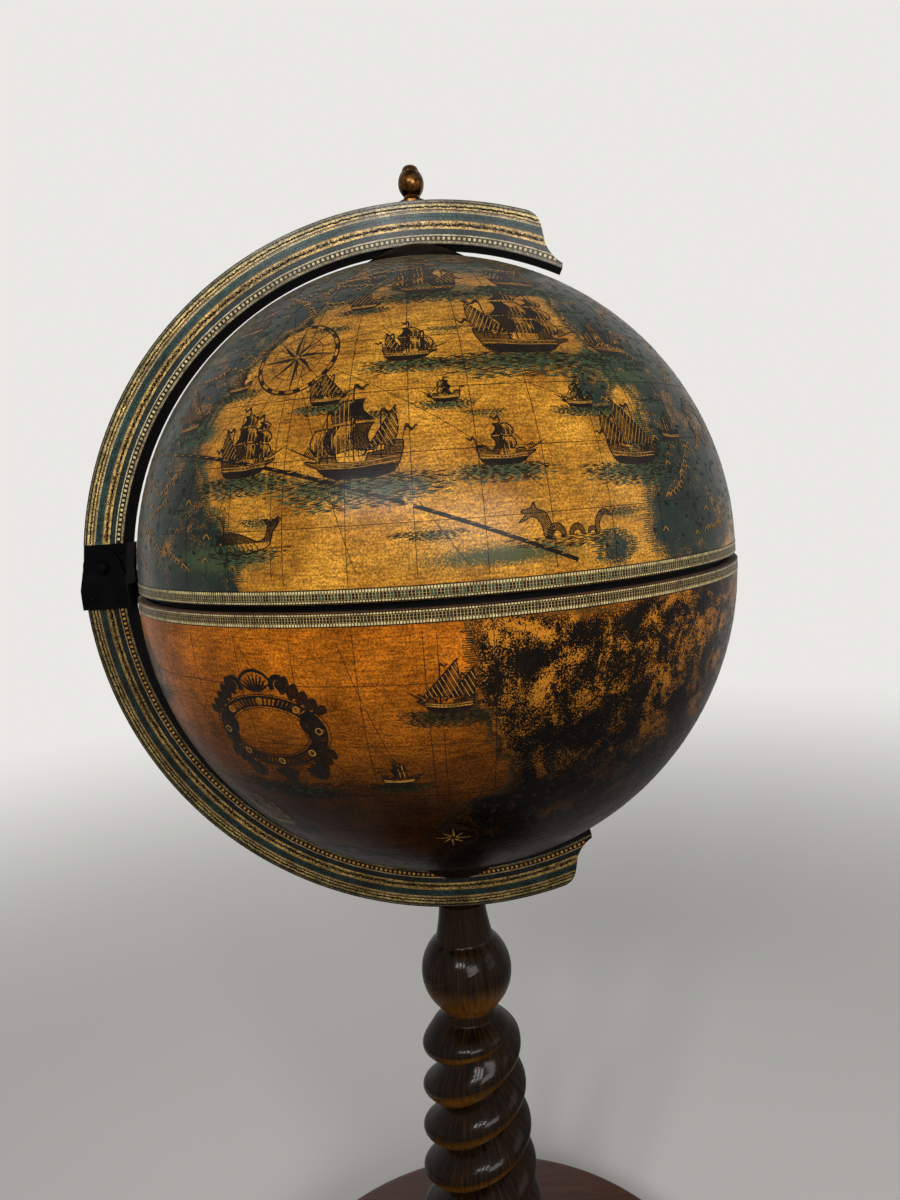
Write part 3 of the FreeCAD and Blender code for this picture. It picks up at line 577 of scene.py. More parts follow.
# ---------------------------------------------------------------- studio
@dataclass
class Studio:
    """Camera, lamps, floor and background, in metres unless a name says otherwise."""

    frame_long_px: float = 1200.0
    focal_px: float = 901.0
    sensor_mm: float = 36.0
    camera_place: Point = (0.03144, -0.62818, 0.72684)
    camera_aim: Point = (0.00683, -0.00192, 0.6455)
    camera_roll: float = -4.0
    lamp_aim: Point = (0.0, 0.0, 0.65)
    lamps: tuple[tuple[str, Point, Spot, float], ...] = (
        ("front_softbox", (0.7, -2.25, 1.3), (1.2, 0.7), 41.0),
        ("right_fill", (2.3, -0.7, 1.2), (1.2, 1.2), 9.0),
        ("back_fill", (-0.5, 2.5, 1.5), (1.6, 1.2), 20.0),
        ("window_left", (-0.75, -1.6, 1.5), (0.14, 0.3), 7.5),
        ("window_middle", (-0.45, -1.7, 1.5), (0.14, 0.3), 7.5),
        ("window_right", (-0.15, -1.75, 1.5), (0.14, 0.3), 7.5),
    )
    room: str = "#f4f3f0"
    room_strength: float = 0.2
    background: str = "#e9e8e4"
    floor_colour: str = "#bbbab6"
    floor_radius: float = 6.0
    floor_drop: float = 0.0002
    floor_sides: int = 96
    fade_from: float = 0.7
    fade_to: float = 2.6

    def put(self, name: str, data: bpy.types.ID, place: Point, aim: Point, roll: float = 0.0) -> None:
        """Put a camera or a lamp in its place.

        Args:
            name: its name.
            data: the camera or lamp.
            place: where it stands.
            aim: the point that it faces.
            roll: how far it is turned about its own axis, in degrees.
        """
        made = bpy.data.objects.new(name, data)
        bpy.context.scene.collection.objects.link(made)
        made.location = place
        made.rotation_mode = "QUATERNION"
        look = (Vector(aim) - Vector(place)).to_track_quat("-Z", "Y")
        made.rotation_quaternion = look @ Quaternion((0, 0, 1), math.radians(roll))

    def camera(self) -> None:
        """Set up the camera at the viewing angle."""
        data = bpy.data.cameras.new("camera")
        data.sensor_width = self.sensor_mm
        data.lens = self.focal_px / self.frame_long_px * self.sensor_mm
        data.clip_start = 0.01
        self.put("camera", data, self.camera_place, self.camera_aim, self.camera_roll)
        bpy.context.scene.camera = bpy.data.objects["camera"]

    def light(self) -> None:
        """Hang the softboxes and the small ceiling panels."""
        for name, place, size, watts in self.lamps:
            data = bpy.data.lights.new(name, "AREA")
            data.shape = "RECTANGLE"
            data.size, data.size_y = size
            data.energy = watts
            self.put(name, data, place, self.lamp_aim)

    def world(self) -> None:
        """Light from all round, and a pale background to the camera, mirrors and glass."""
        world = bpy.data.worlds.new("studio")
        bpy.context.scene.world = world
        world.use_nodes = True
        tree = world.node_tree
        tree.nodes.clear()
        rays = add(tree, "LightPath").outputs
        mirrored = {0: rays["Is Camera Ray"], 1: rays["Is Glossy Ray"]}
        seen = add(tree, "Math", mirrored, operation="MAXIMUM")
        seen = add(tree, "Math", {0: seen, 1: rays["Is Transmission Ray"]}, operation="MAXIMUM")
        room = add(tree, "Background", {"Color": linear(self.room), "Strength": self.room_strength})
        shown = add(tree, "Background", {"Color": linear(self.background), "Strength": 1.0})
        both = add(tree, "MixShader", {0: seen, 1: room, 2: shown})
        add(tree, "OutputWorld", {"Surface": both})

    def floor(self) -> None:
        """Lay a pale floor that keeps the shadow and fades into the background."""
        turns = np.linspace(0, 2 * np.pi, self.floor_sides, endpoint=False)
        reach = self.floor_radius
        rim = [(reach * math.cos(turn), reach * math.sin(turn), -self.floor_drop) for turn in turns]
        mesh = bpy.data.meshes.new("floor")
        mesh.from_pydata(rim, [], [list(range(self.floor_sides))])
        floor = bpy.data.objects.new("floor", mesh)
        bpy.context.scene.collection.objects.link(floor)
        material, tree, shader, coordinates = new_material("painted_floor")
        feed(tree, shader, {"Base Color": linear(self.floor_colour), "Roughness": 0.8})
        away = add(tree, "VectorMath", {0: coordinates.outputs["Object"]}, operation="LENGTH")
        reaches = {"From Min": self.fade_from, "From Max": self.fade_to}
        fade = add(tree, "MapRange", {"Value": away, **reaches}, interpolation_type="SMOOTHSTEP")
        mixed = add(tree, "MixShader", {0: fade, 1: shader, 2: add(tree, "BsdfTransparent")})
        output = next(node for node in tree.nodes if node.type == "OUTPUT_MATERIAL")
        feed(tree, output, {"Surface": mixed})
        mesh.materials.append(material)

    def build(self) -> None:
        """Set up camera, lamps, background and floor."""
        self.camera()
        self.light()
        self.world()
        self.floor()
        log.info("studio ready")


# ---------------------------------------------------------------- printing
class Ink(Enum):
    """Printing plates: a name, and the height over the paper in millimetres.

    A real engraving's lines are a tenth of a millimetre wide. Here they are two to five times as wide,
    because finer ones wouldn't show.
    """

    GREEN = ("green", 0.07)
    DARK = ("dark", 0.13)
    OCHRE = ("ochre", 0.19)
    PALE = ("pale", 0.25)


@dataclass
class Impression:
    """Ribbons of one ink, gathered for one mesh, in millimetres."""

    points: list[np.ndarray] = field(default_factory=list)
    quads: list[np.ndarray] = field(default_factory=list)
    count: int = 0

    def ribbon(self, path: np.ndarray, outward: np.ndarray, width: float | np.ndarray) -> None:
        """Lay one ribbon.

        Args:
            path: its middle line, one row a point.
            outward: the unit normal at each point.
            width: its full width, the same all along or one value a point.
        """
        along = np.gradient(path, axis=0)
        aside = np.cross(outward, along)
        aside /= np.maximum(np.linalg.norm(aside, axis=1, keepdims=True), 1e-9)
        reach = aside * (np.asarray(width, float) / 2).reshape(-1, 1)
        number = len(path)
        first = self.count + np.arange(number - 1)
        self.points += [path + reach, path - reach]
        self.quads.append(np.stack([first, first + number, first + number + 1, first + 1], axis=1))
        self.count += 2 * number


def blank_plates() -> dict[Ink, Impression]:
    """Give an empty impression for each ink."""
    return {ink: Impression() for ink in Ink}


def mesh_piece(
    name: str, points: np.ndarray, faces: np.ndarray, material: bpy.types.Material, body: str
) -> bpy.types.Object:
    """Make one piece from points in millimetres.

    Args:
        name: the piece's name.
        points: one row a vertex.
        faces: one row a four-sided face.
        material: its finish.
        body: the body that it moves with.

    Returns:
        The new object.
    """
    mesh = bpy.data.meshes.new(name)
    mesh.from_pydata((points * MM).tolist(), [], faces.tolist())
    mesh.shade_smooth()
    mesh.materials.append(material)
    piece = bpy.data.objects.new(name, mesh)
    bpy.context.scene.collection.objects.link(piece)
    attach(piece, body)
    return piece


def press(
    impressions: dict[Ink, Impression], name: str, inks: dict[Ink, bpy.types.Material], body: str,
) -> None:
    """Turn gathered ribbons into one piece for each ink.

    Args:
        impressions: the ribbons.
        name: what the print lies on.
        inks: the finish of each ink.
        body: the body that it moves with.
    """
    for ink, impression in impressions.items():
        if impression.count:
            points, quads = np.vstack(impression.points), np.vstack(impression.quads)
            piece = mesh_piece(f"{name}_{ink.value[0]}_print", points, quads, inks[ink], body)
            log.info("%s: %d faces", piece.name, len(quads))


@dataclass(frozen=True)
class Patch:
    """A round swelling of land, or of open sea where its rise is negative; angles in degrees."""

    lon: float
    lat: float
    reach: float
    rise: float


@dataclass(frozen=True)
class Tint:
    """A green wash under a ship or along a shore; its place in degrees, its size in millimetres."""

    lon: float
    lat: float
    width: float
    height: float
    strength: float = 0.9


@dataclass
class MapSheet:
    """One hemisphere's printed sheet over its shell, in millimetres."""

    name: str
    body: str
    centre_z: float
    radius: float
    low_lat: float
    high_lat: float
    seed: float
    patches: tuple[Patch, ...]
    tints: tuple[Tint, ...]
    sea_level: float = 0.3
    roughness: float = 0.62
    shore_wash: float = 0.55
    shore_reach: float = 0.05
    thickness: float = 0.12
    columns: int = 480
    rows: int = 120
    backing_rows: int = 12
    ring_points: int = 301
    prints: dict[Ink, Impression] = field(default_factory=blank_plates)

    def __post_init__(self) -> None:
        """Work out land and sea on the sheet's grid."""
        lats = np.linspace(self.low_lat, self.high_lat, self.rows)
        lons = np.arange(self.columns) * 360 / self.columns
        self.grid = way(lons[None, :], lats[:, None])
        flat = self.grid.reshape(-1, 3)
        shift = Vector((self.seed, 2.7 * self.seed, -self.seed))
        rough = [noise.fractal(Vector(spot) * 1.9 + shift, 0.85, 2.1, 6) for spot in flat.tolist()]
        land = np.array(rough) * self.roughness - self.sea_level
        for patch in self.patches:
            apart = np.degrees(np.arccos(np.clip(flat @ way(patch.lon, patch.lat), -1, 1)))
            land += patch.rise * np.exp(-((apart / patch.reach) ** 2))
        self.land = land.reshape(self.rows, self.columns)
        self.wash = np.exp(-(((self.land + 0.02) / self.shore_reach) ** 2)) * self.shore_wash
        for tint in self.tints:
            east, north = self.beside(tint.lon, tint.lat)
            self.wash += tint.strength * np.exp(-((east / tint.width) ** 2) - (north / tint.height) ** 2)

    def beside(self, lon: float, lat: float) -> tuple[np.ndarray, np.ndarray]:
        """Give the grid's distances east and north of one place, in millimetres.

        Args:
            lon: the place's longitude in degrees.
            lat: its latitude in degrees.

        Returns:
            The distances east and those north, one for each point of the grid.
        """
        origin, east, north = axes_at(lon, lat)
        ahead = self.grid @ origin
        hidden = np.where(ahead > 0.3, 0.0, 1e3)
        return self.grid @ east * self.radius + hidden, self.grid @ north * self.radius + hidden

    def land_at(self, ways: np.ndarray) -> np.ndarray:
        """Look up how far inland some directions are; below zero is sea.

        Args:
            ways: unit directions.

        Returns:
            One value for each direction.
        """
        lat = np.degrees(np.arcsin(np.clip(ways[:, 2], -1, 1)))
        lon = np.degrees(np.arctan2(ways[:, 0], -ways[:, 1])) % 360
        share = (lat - self.low_lat) / (self.high_lat - self.low_lat)
        row = np.clip(share * (self.rows - 1), 0, self.rows - 1).round().astype(int)
        return self.land[row, (lon / 360 * self.columns).round().astype(int) % self.columns]

    def stroke(self, ways: np.ndarray, width: float | np.ndarray, ink: Ink) -> None:
        """Press one line.

        Args:
            ways: unit directions from the sphere's centre.
            width: its width in millimetres.
            ink: the plate.
        """
        height = self.radius + ink.value[1]
        path = ways * height + (0.0, 0.0, self.centre_z)
        self.prints[ink].ribbon(path, ways, width)

    def ring(self, lat: float, width: float, ink: Ink) -> None:
        """Press a parallel; its latitude in degrees, its width in millimetres."""
        lons = np.linspace(0.0, 360.0, self.ring_points)
        self.stroke(way(lons, np.full(self.ring_points, lat)), width, ink)

    def dash(self, lat: float, start: float, end: float, width: float, ink: Ink) -> None:
        """Press one short level line; angles in degrees, width in millimetres."""
        self.stroke(way(np.array([start, end]), np.full(2, lat)), width, ink)

    def cells(
        self, lat: float, height: float, length: float, pitch: float, ink: Ink, offset: float = 0.0
    ) -> None:
        """Press a row of equal marks along a parallel, measured in millimetres.

        Args:
            lat: the row's latitude in degrees.
            height: of a mark.
            length: of a mark.
            pitch: from one mark to the next.
            ink: the plate.
            offset: of the first mark, in marks.
        """
        number = max(1, round(2 * math.pi * self.radius * math.cos(math.radians(lat)) / pitch))
        half = math.degrees(length / 2 / self.radius / math.cos(math.radians(lat)))
        for mark in range(number):
            middle = (mark + offset) * 360 / number
            self.dash(lat, middle - half, middle + half, height, ink)

    def paper(self, material: bpy.types.Material, slot: str) -> None:
        """Make the sheet: a fine outside that carries the tints, and a coarse backing.

        Args:
            material: the paper.
            slot: the record's material slot; not used.
        """
        coarse = np.linspace(0, self.rows - 1, self.backing_rows).round().astype(int)
        outside = self.grid.reshape(-1, 3) * self.radius
        backing = self.grid[coarse].reshape(-1, 3) * (self.radius - self.thickness)
        points = np.vstack([outside, backing]) + (0.0, 0.0, self.centre_z)
        here = np.arange(self.columns)
        beside = (here + 1) % self.columns
        faces = []
        for row in range(self.rows - 1):
            low, high = row * self.columns, (row + 1) * self.columns
            faces.append(np.stack([low + here, low + beside, high + beside, high + here], axis=1))
        first = self.rows * self.columns
        for row in range(self.backing_rows - 1):
            low, high = first + row * self.columns, first + (row + 1) * self.columns
            faces.append(np.stack([low + here, high + here, high + beside, low + beside], axis=1))
        top, back_top = (self.rows - 1) * self.columns, first + (self.backing_rows - 1) * self.columns
        faces.append(np.stack([here, first + here, first + beside, beside], axis=1))
        faces.append(np.stack([top + here, top + beside, back_top + beside, back_top + here], axis=1))
        sheet = mesh_piece(self.name + "_map_paper", points, np.vstack(faces), material, self.body)
        for name, values in (("land", self.land), ("wash", self.wash)):
            layer = sheet.data.attributes.new(name, "FLOAT", "POINT")
            both = np.concatenate([values.ravel(), np.zeros(len(backing))]).astype(np.float32)
            layer.data.foreach_set("value", both)
        log.info("%s: %d vertices", sheet.name, len(points))


def way(lon: float | np.ndarray, lat: float | np.ndarray) -> np.ndarray:
    """Turn longitude and latitude in degrees into unit directions; the front is longitude 0.

    Args:
        lon: eastward, in degrees.
        lat: northward, in degrees.

    Returns:
        One unit direction for each pair.
    """
    east, up = np.radians(lon), np.radians(lat)
    parts = np.broadcast_arrays(np.cos(up) * np.sin(east), -np.cos(up) * np.cos(east), np.sin(up))
    return np.stack(parts, axis=-1)


def axes_at(lon: float, lat: float) -> tuple[np.ndarray, np.ndarray, np.ndarray]:
    """Give the directions outward, east and north at one place on a globe.

    Args:
        lon: eastward, in degrees.
        lat: northward, in degrees.

    Returns:
        The three unit directions.
    """
    east = np.array([math.cos(math.radians(lon)), math.sin(math.radians(lon)), 0.0])
    outward = way(lon, lat)
    return outward, east, np.cross(outward, east)


def turning(degrees: float) -> np.ndarray:
    """Give the matrix that turns rows of flat points anticlockwise."""
    cosine, sine = math.cos(math.radians(degrees)), math.sin(math.radians(degrees))
    return np.array([[cosine, sine], [-sine, cosine]])


def oval(turns: np.ndarray, high: float = 1.0) -> np.ndarray:
    """Give flat points at these angles, in radians, round an oval of half width 1."""
    return np.stack([np.cos(turns), high * np.sin(turns)], axis=1)


def rounded(path: np.ndarray, closed: bool = False, samples: int = 5) -> np.ndarray:
    """Run a smooth curve through some points.

    Args:
        path: the points.
        closed: whether the curve comes back to its start.
        samples: points for each span.

    Returns:
        The curve's points.
    """
    if closed:
        around = np.vstack([path[-1:], path, path[:2]])
    else:
        around = np.vstack([2 * path[0] - path[1], path, 2 * path[-1] - path[-2]])
    before, start, end, after = around[:-3], around[1:-2], around[2:-1], around[3:]
    bend = 2 * before - 5 * start + 4 * end - after
    twist = 3 * start - before - 3 * end + after
    spans = []
    for share in np.arange(samples) / samples:
        straight = 2 * start + (end - before) * share
        spans.append(0.5 * (straight + bend * share**2 + twist * share**3))
    curve = np.stack(spans, axis=1).reshape(-1, 2)
    return np.vstack([curve, path[:1] if closed else path[-1:]])


@dataclass
class Pen:
    """An engraver's needle at one place on a sheet.

    A drawing's units are turned into millimetres by its size, so one motif serves large and small.
    """

    sheet: MapSheet
    lon: float
    lat: float
    size: float
    turn: float = 0.0
    mirror: bool = False
    longest_mm: float = 5.0

    def ways(self, points: np.ndarray) -> np.ndarray:
        """Wrap flat points of the drawing onto the globe as unit directions.

        Args:
            points: in drawing units.

        Returns:
            One unit direction for each point.
        """
        flat = points * (-self.size if self.mirror else self.size, self.size)
        flat = flat @ turning(self.turn)
        reach = np.hypot(flat[:, 0], flat[:, 1])
        angle = reach / self.sheet.radius
        share = np.sin(angle) / np.maximum(reach, 1e-9)
        outward, east, north = axes_at(self.lon, self.lat)
        aside = flat[:, :1] * east + flat[:, 1:] * north
        return np.cos(angle)[:, None] * outward + share[:, None] * aside

    def line(
        self,
        points: Path,
        width: float,
        ink: Ink = Ink.DARK,
        taper: bool = False,
        closed: bool = False,
        smooth: bool = False,
    ) -> None:
        """Cut one line.

        Args:
            points: its corners in drawing units.
            width: in millimetres.
            ink: the plate.
            taper: whether it thins to its ends.
            closed: whether it comes back to its start.
            smooth: whether it curves through its corners.
        """
        path = np.asarray(points, float)
        if smooth:
            path = rounded(path, closed)
        elif closed:
            path = np.vstack([path, path[:1]])
        lengths = np.hypot(*np.diff(path, axis=0).T) * self.size
        numbers = np.maximum(1, np.ceil(lengths / self.longest_mm)).astype(int)
        if numbers.max() > 1 or len(path) == 2:
            spans = zip(path[:-1], path[1:], numbers)
            parts = [start + (end - start) * np.arange(n)[:, None] / n for start, end, n in spans]
            path = np.vstack(parts + [path[-1:]])
        widths: float | np.ndarray = width
        if taper:
            if len(path) < 4:
                path = path[0] + (path[-1] - path[0]) * np.linspace(0, 1, 4)[:, None]
            widths = width * (0.25 + 0.75 * np.sin(np.pi * np.linspace(0.03, 0.97, len(path))))
        self.sheet.stroke(self.ways(path), widths, ink)

    def hatch(
        self, outline: Path, spacing: float, width: float, angle: float = 0.0, ink: Ink = Ink.DARK
    ) -> None:
        """Shade inside an outline with ruled lines.

        Args:
            outline: its corners in drawing units.
            spacing: between the lines, in millimetres.
            width: of the lines, in millimetres.
            angle: of the lines, in degrees.
            ink: the plate.
        """
        shape = np.asarray(outline, float) @ turning(-angle)
        following = np.roll(shape, -1, axis=0)
        step = spacing / self.size
        for level in np.arange(shape[:, 1].min() + step / 2, shape[:, 1].max(), step):
            crossed = (shape[:, 1] > level) != (following[:, 1] > level)
            start, end = shape[crossed], following[crossed]
            rise, run = end[:, 1] - start[:, 1], end[:, 0] - start[:, 0]
            places = np.sort(start[:, 0] + (level - start[:, 1]) * run / rise)
            for left, right in zip(places[::2], places[1::2]):
                if (right - left) * self.size > 0.3:
                    self.line(np.array([[left, level], [right, level]]) @ turning(angle), width, ink)

    def shape(
        self, outline: Path, width: float, fill: float = 0.0, angle: float = 0.0, smooth: bool = True
    ) -> None:
        """Cut a closed outline, and shade it where it has a fill.

        Args:
            outline: its corners in drawing units.
            width: of the outline, in millimetres.
            fill: the spacing of the shading's lines, in millimetres, or 0 for none.
            angle: of the shading's lines, in degrees.
            smooth: whether the outline curves through its corners.
        """
        path = np.asarray(outline, float)
        if smooth:
            path = rounded(path, closed=True)[:-1]
        self.line(path, width, closed=True)
        if fill:
            self.hatch(path, fill, 0.42, angle)

    def dot(self, spot: Spot, width: float) -> None:
        """Cut a pale square dot, its width in millimetres."""
        half = width / 2 / self.size
        self.line([(spot[0] - half, spot[1]), (spot[0] + half, spot[1])], width, Ink.OCHRE)

    def circle(
        self, radius: float, width: float, ink: Ink = Ink.DARK, centre: Spot = (0.0, 0.0)
    ) -> None:
        """Cut a circle.

        Args:
            radius: in drawing units.
            width: of the line, in millimetres.
            ink: the plate.
            centre: in drawing units.
        """
        steps = max(16, int(radius * self.size * 4))
        turns = np.linspace(0, 2 * np.pi, steps, endpoint=False)
        self.line(oval(turns) * radius + centre, width, ink, closed=True)


# ---------------------------------------------------------------- motifs of old charts
@dataclass(frozen=True)
class Mast:
    """A mast: its place, top and yards from the lowest up, each (height, width) in ship lengths."""

    place: float
    top: float
    yards: tuple[Spot, ...] = ()
    lateen: bool = False


class Rig(Enum):
    """Kinds of ship by their masts."""

    GALLEON = (
        Mast(-0.30, 0.74, ((0.64, 0.30),), lateen=True),
        Mast(-0.02, 1.08, ((0.47, 0.42), (0.76, 0.30), (0.98, 0.16))),
        Mast(0.30, 0.90, ((0.42, 0.32), (0.66, 0.23), (0.82, 0.12))),
    )
    CARRACK = (
        Mast(-0.26, 0.62, ((0.54, 0.26),), lateen=True),
        Mast(0.04, 0.96, ((0.52, 0.44), (0.82, 0.24))),
        Mast(0.34, 0.66, ((0.50, 0.26),)),
    )
    LATEEN = (
        Mast(-0.24, 0.66, ((0.66, 0.44),), lateen=True),
        Mast(0.16, 0.86, ((0.84, 0.60),), lateen=True),
    )
    SLOOP = (Mast(0.0, 0.80, ((0.44, 0.38), (0.70, 0.26))),)


HULL = (
    (-0.50, 0.29), (-0.47, 0.10), (-0.43, 0.00), (-0.34, -0.07), (-0.05, -0.095), (0.22, -0.08),
    (0.38, -0.03), (0.46, 0.06), (0.60, 0.135), (0.58, 0.16), (0.43, 0.125), (0.40, 0.21), (0.24, 0.19),
    (0.22, 0.10), (-0.08, 0.08), (-0.11, 0.17), (-0.29, 0.19), (-0.31, 0.27),
)


@dataclass
class ChartMotifs:
    """The engraver's stock of chart ornaments, each drawn by a pen."""

    seed: int = 11

    def __post_init__(self) -> None:
        """Start the hand's small unevenness from a fixed seed."""
        self.hand = np.random.default_rng(self.seed)

    def sail(self, pen: Pen, low: Point, high: Point) -> None:
        """Draw a square sail, full of wind.

        Args:
            pen: the pen.
            low: the foot's middle, height and width, in ship lengths.
            high: the head's middle, height and width.
        """
        rise = np.linspace(0, 1, 7)
        blown = 0.07 * np.sin(np.pi * rise) + low[0] + (high[0] - low[0]) * rise
        half = (low[2] + (high[2] - low[2]) * rise) / 2
        height = low[1] + (high[1] - low[1]) * rise
        left = np.stack([blown - half, height], axis=1)
        right = np.stack([blown + half * 0.96, height], axis=1)
        foot = [(low[0], low[1] + 0.035)]
        outline = np.vstack([left[::-1], foot, right])
        pen.line(outline, 0.75, closed=True)
        cloth = np.vstack([left + (right - left) * 0.45, right[::-1] - (0.02, 0.0)])
        pen.hatch(cloth, 2.3, 0.4, 90.0, Ink.OCHRE)
        count = max(3, int(low[2] * pen.size / 0.8))
        for line in range(1, count):
            share = line / count
            shade = left + (right - left) * share
            reach = 7 if share < 0.5 else 5 if share < 0.8 else 3
            pen.line(shade[:reach], 0.6, taper=True)
        shadow = np.vstack([left, (left + (right - left) * 0.42)[::-1]])
        pen.hatch(shadow, 0.72, 0.44, 24.0)
        yard = high[2] / 2 + 0.015
        pen.line([(high[0] - yard, high[1]), (high[0] + yard, high[1])], 0.8)

    def lateen_sail(self, pen: Pen, mast: Mast) -> None:
        """Draw a three-cornered sail on its slanting yard.

        Args:
            pen: the pen.
            mast: the mast, whose first yard carries the sail.
        """
        height, width = mast.yards[0]
        peak = np.array((mast.place - width * 0.55, height + 0.14))
        tack = np.array((mast.place + width * 0.62, 0.2))
        clew = np.array((mast.place - width * 0.50, 0.22))
        foot = rounded(np.array([tack, (tack + clew) / 2 + (0.0, 0.05), clew]))
        leech = rounded(np.array([clew, (clew + peak) / 2 + (-0.05, 0.0), peak]))
        outline = np.vstack([foot, leech, [tack]])
        pen.line(outline, 0.7)
        pen.line([tack + (0.03, -0.05), peak + (-0.02, 0.03)], 1.1)
        pen.hatch(outline, 2.3, 0.4, 62.0, Ink.OCHRE)
        pen.hatch(outline, 0.8, 0.5, 62.0)
        for share in np.linspace(0.12, 0.9, max(4, int(width * pen.size / 1.1))):
            start = tack + (peak - tack) * share
            pen.line([start, start + ((clew + tack) / 2 - start) * 0.8], 0.55, taper=True)

    def pennant(self, pen: Pen, root: Spot, length: float) -> None:
        """Draw a streamer that flies back in waves.

        Args:
            pen: the pen.
            root: where it is tied.
            length: in ship lengths.
        """
        share = np.linspace(0, 1, 9)
        middle = np.stack([root[0] - length * share, root[1] + 0.025 * np.sin(share * 9)], axis=1)
        half = (0.028 * (1 - share * 0.85))[:, None] * (0.0, 1.0)
        outline = np.vstack([middle + half, (middle - half)[::-1]])
        pen.line(outline, 0.35, closed=True)
        pen.hatch(outline, 0.5, 0.4)

    def sea(self, pen: Pen, width: float, depth: float, top: float = -0.07) -> None:
        """Rule the water under a hull: broken green lines, with a few dark crests.

        Args:
            pen: the pen.
            width: half its width.
            depth: from its top line to its lowest.
            top: the height of its top line.
        """
        rows = max(3, int(depth * pen.size / 0.66))
        for row in range(rows):
            share = row / rows
            height = top - depth * share
            reach = width * (1.0 - 0.45 * share**2) * self.hand.uniform(0.7, 1.05)
            drift = self.hand.uniform(-0.14, 0.14) * width
            place = drift - reach
            reach += drift
            while place < reach:
                length = self.hand.uniform(0.06, 0.2)
                end = min(place + length, reach)
                sag = self.hand.uniform(0.004, 0.014)
                middle = (place + end) / 2
                dark = self.hand.random() < 0.6 * (1 - share) + 0.3
                wave = np.array([(place, height), (middle, height - sag), (end, height)])
                width_mm, ink = (0.58, Ink.DARK) if dark else (0.62, Ink.GREEN)
                pen.line(rounded(wave, samples=2), width_mm, ink, taper=True)
                place = end + self.hand.uniform(0.015, 0.07)

    def ship(self, pen: Pen, rig: Rig) -> None:
        """Draw a ship under sail with the sea beneath it; one unit is its length.

        Args:
            pen: the pen.
            rig: its masts.
        """
        self.sea(pen, 1.1, 0.36)
        hull = rounded(np.array(HULL), closed=True, samples=2)[:-1]
        pen.line(hull, 0.7, closed=True)
        pen.hatch(hull, 0.7, 0.46, 4.0)
        keel = [
            (-0.44, 0.03), (0.46, 0.05), (0.38, -0.03), (0.22, -0.085), (-0.05, -0.1), (-0.34, -0.075)
        ]
        pen.hatch(keel, 0.5, 0.45)
        for height in (0.035, 0.085):
            wale = [(-0.46, height + 0.03), (0.0, height - 0.012), (0.44, height + 0.02)]
            pen.line(wale, 0.42, Ink.OCHRE, smooth=True)
        for port in np.arange(-0.40, 0.40, 0.075):
            pen.dot((port, 0.052), 0.75)
        pen.line([(-0.49, 0.28), (-0.52, 0.44)], 0.45)
        self.pennant(pen, (-0.52, 0.43), 0.14)
        pen.line([(0.44, 0.14), (0.82, 0.36)], 0.75, taper=True)
        for mast in rig.value:
            pen.line([(mast.place, 0.1), (mast.place, mast.top + 0.03)], 0.75)
            for side in (-0.10, -0.06, 0.06, 0.10):
                pen.line([(mast.place + side, 0.13), (mast.place, mast.top * 0.72)], 0.4)
            self.pennant(pen, (mast.place, mast.top + 0.02), 0.17)
            if mast.lateen:
                self.lateen_sail(pen, mast)
                continue
            below, spread = 0.2, mast.yards[0][1] * 1.05
            for height, width in mast.yards:
                self.sail(pen, (mast.place, below, spread), (mast.place, height, width))
                below, spread = height + 0.035, width * 1.08
            pen.line([(mast.place, mast.top), (0.5, 0.18)], 0.35)
        jib = [(0.5, 0.18), (0.62, 0.24), (0.56, 0.32), (0.46, 0.24)]
        pen.line(jib, 0.4, closed=True)
        pen.hatch(jib, 0.8, 0.4, 60.0)

    def wind_rose(self, pen: Pen, rays: float = 0.0) -> None:
        """Draw a ringed rose of eight points, each half shaded; one unit is the ring's radius.

        Args:
            pen: the pen.
            rays: how far, in degrees, sixteen ruled courses run from it.
        """
        for radius, width in ((1.0, 0.9), (0.91, 0.4), (0.62, 0.35), (0.16, 0.5)):
            pen.circle(radius, width)
        for tick in range(32):
            spin = turning(tick * 11.25)
            if tick % 2:
                cell = np.array([(-0.085, 0.915), (0.085, 0.915), (0.09, 0.99), (-0.09, 0.99)])
                pen.hatch(cell @ spin, 0.55, 0.5, tick * 11.25)
            else:
                pen.line(np.array([(0.0, 0.62), (0.0, 0.9)]) @ spin, 0.3)
        for point in range(16):
            spin = turning(point * 22.5 + 11.25)
            pen.line(np.array([(0.0, 0.24), (0.0, 0.6)]) @ spin, 0.4, taper=True)
        for point in range(8):
            spin = turning(point * 45.0)
            tip = 0.88 if point % 2 == 0 else 0.66
            side = (0.21 * math.sin(math.radians(22.5)), 0.21 * math.cos(math.radians(22.5)))
            dark = np.array([(0.0, 0.05), (0.0, tip), (-side[0], side[1])]) @ spin
            light = np.array([(0.0, 0.05), (0.0, tip), side]) @ spin
            pen.line(dark, 0.45, closed=True)
            pen.line(light, 0.4, closed=True)
            pen.hatch(dark, 0.5, 0.48, point * 45.0)
            pen.hatch(light, 0.9, 0.6, point * 45.0, Ink.OCHRE)
        north_mark = [
            (0.0, 1.28), (0.05, 1.16), (0.13, 1.12), (0.05, 1.08), (0.0, 1.02), (-0.05, 1.08),
            (-0.13, 1.12), (-0.05, 1.16),
        ]
        pen.shape(north_mark, 0.45, 0.55)
        if rays:
            outward, east, north = axes_at(pen.lon, pen.lat)
            reach = np.radians(np.arange(pen.size / pen.sheet.radius * 57.3 * 1.05, rays, 1.4))[:, None]
            for course in range(16):
                bearing = math.radians(course * 22.5)
                along = math.sin(bearing) * east + math.cos(bearing) * north
                ways = np.cos(reach) * outward + np.sin(reach) * along
                heights = np.degrees(np.arcsin(ways[:, 2]))
                kept = ways[(heights > pen.sheet.low_lat + 3.2) & (heights < pen.sheet.high_lat - 3.2)]
                if len(kept) > 2:
                    pen.sheet.stroke(kept, 0.3, Ink.DARK)

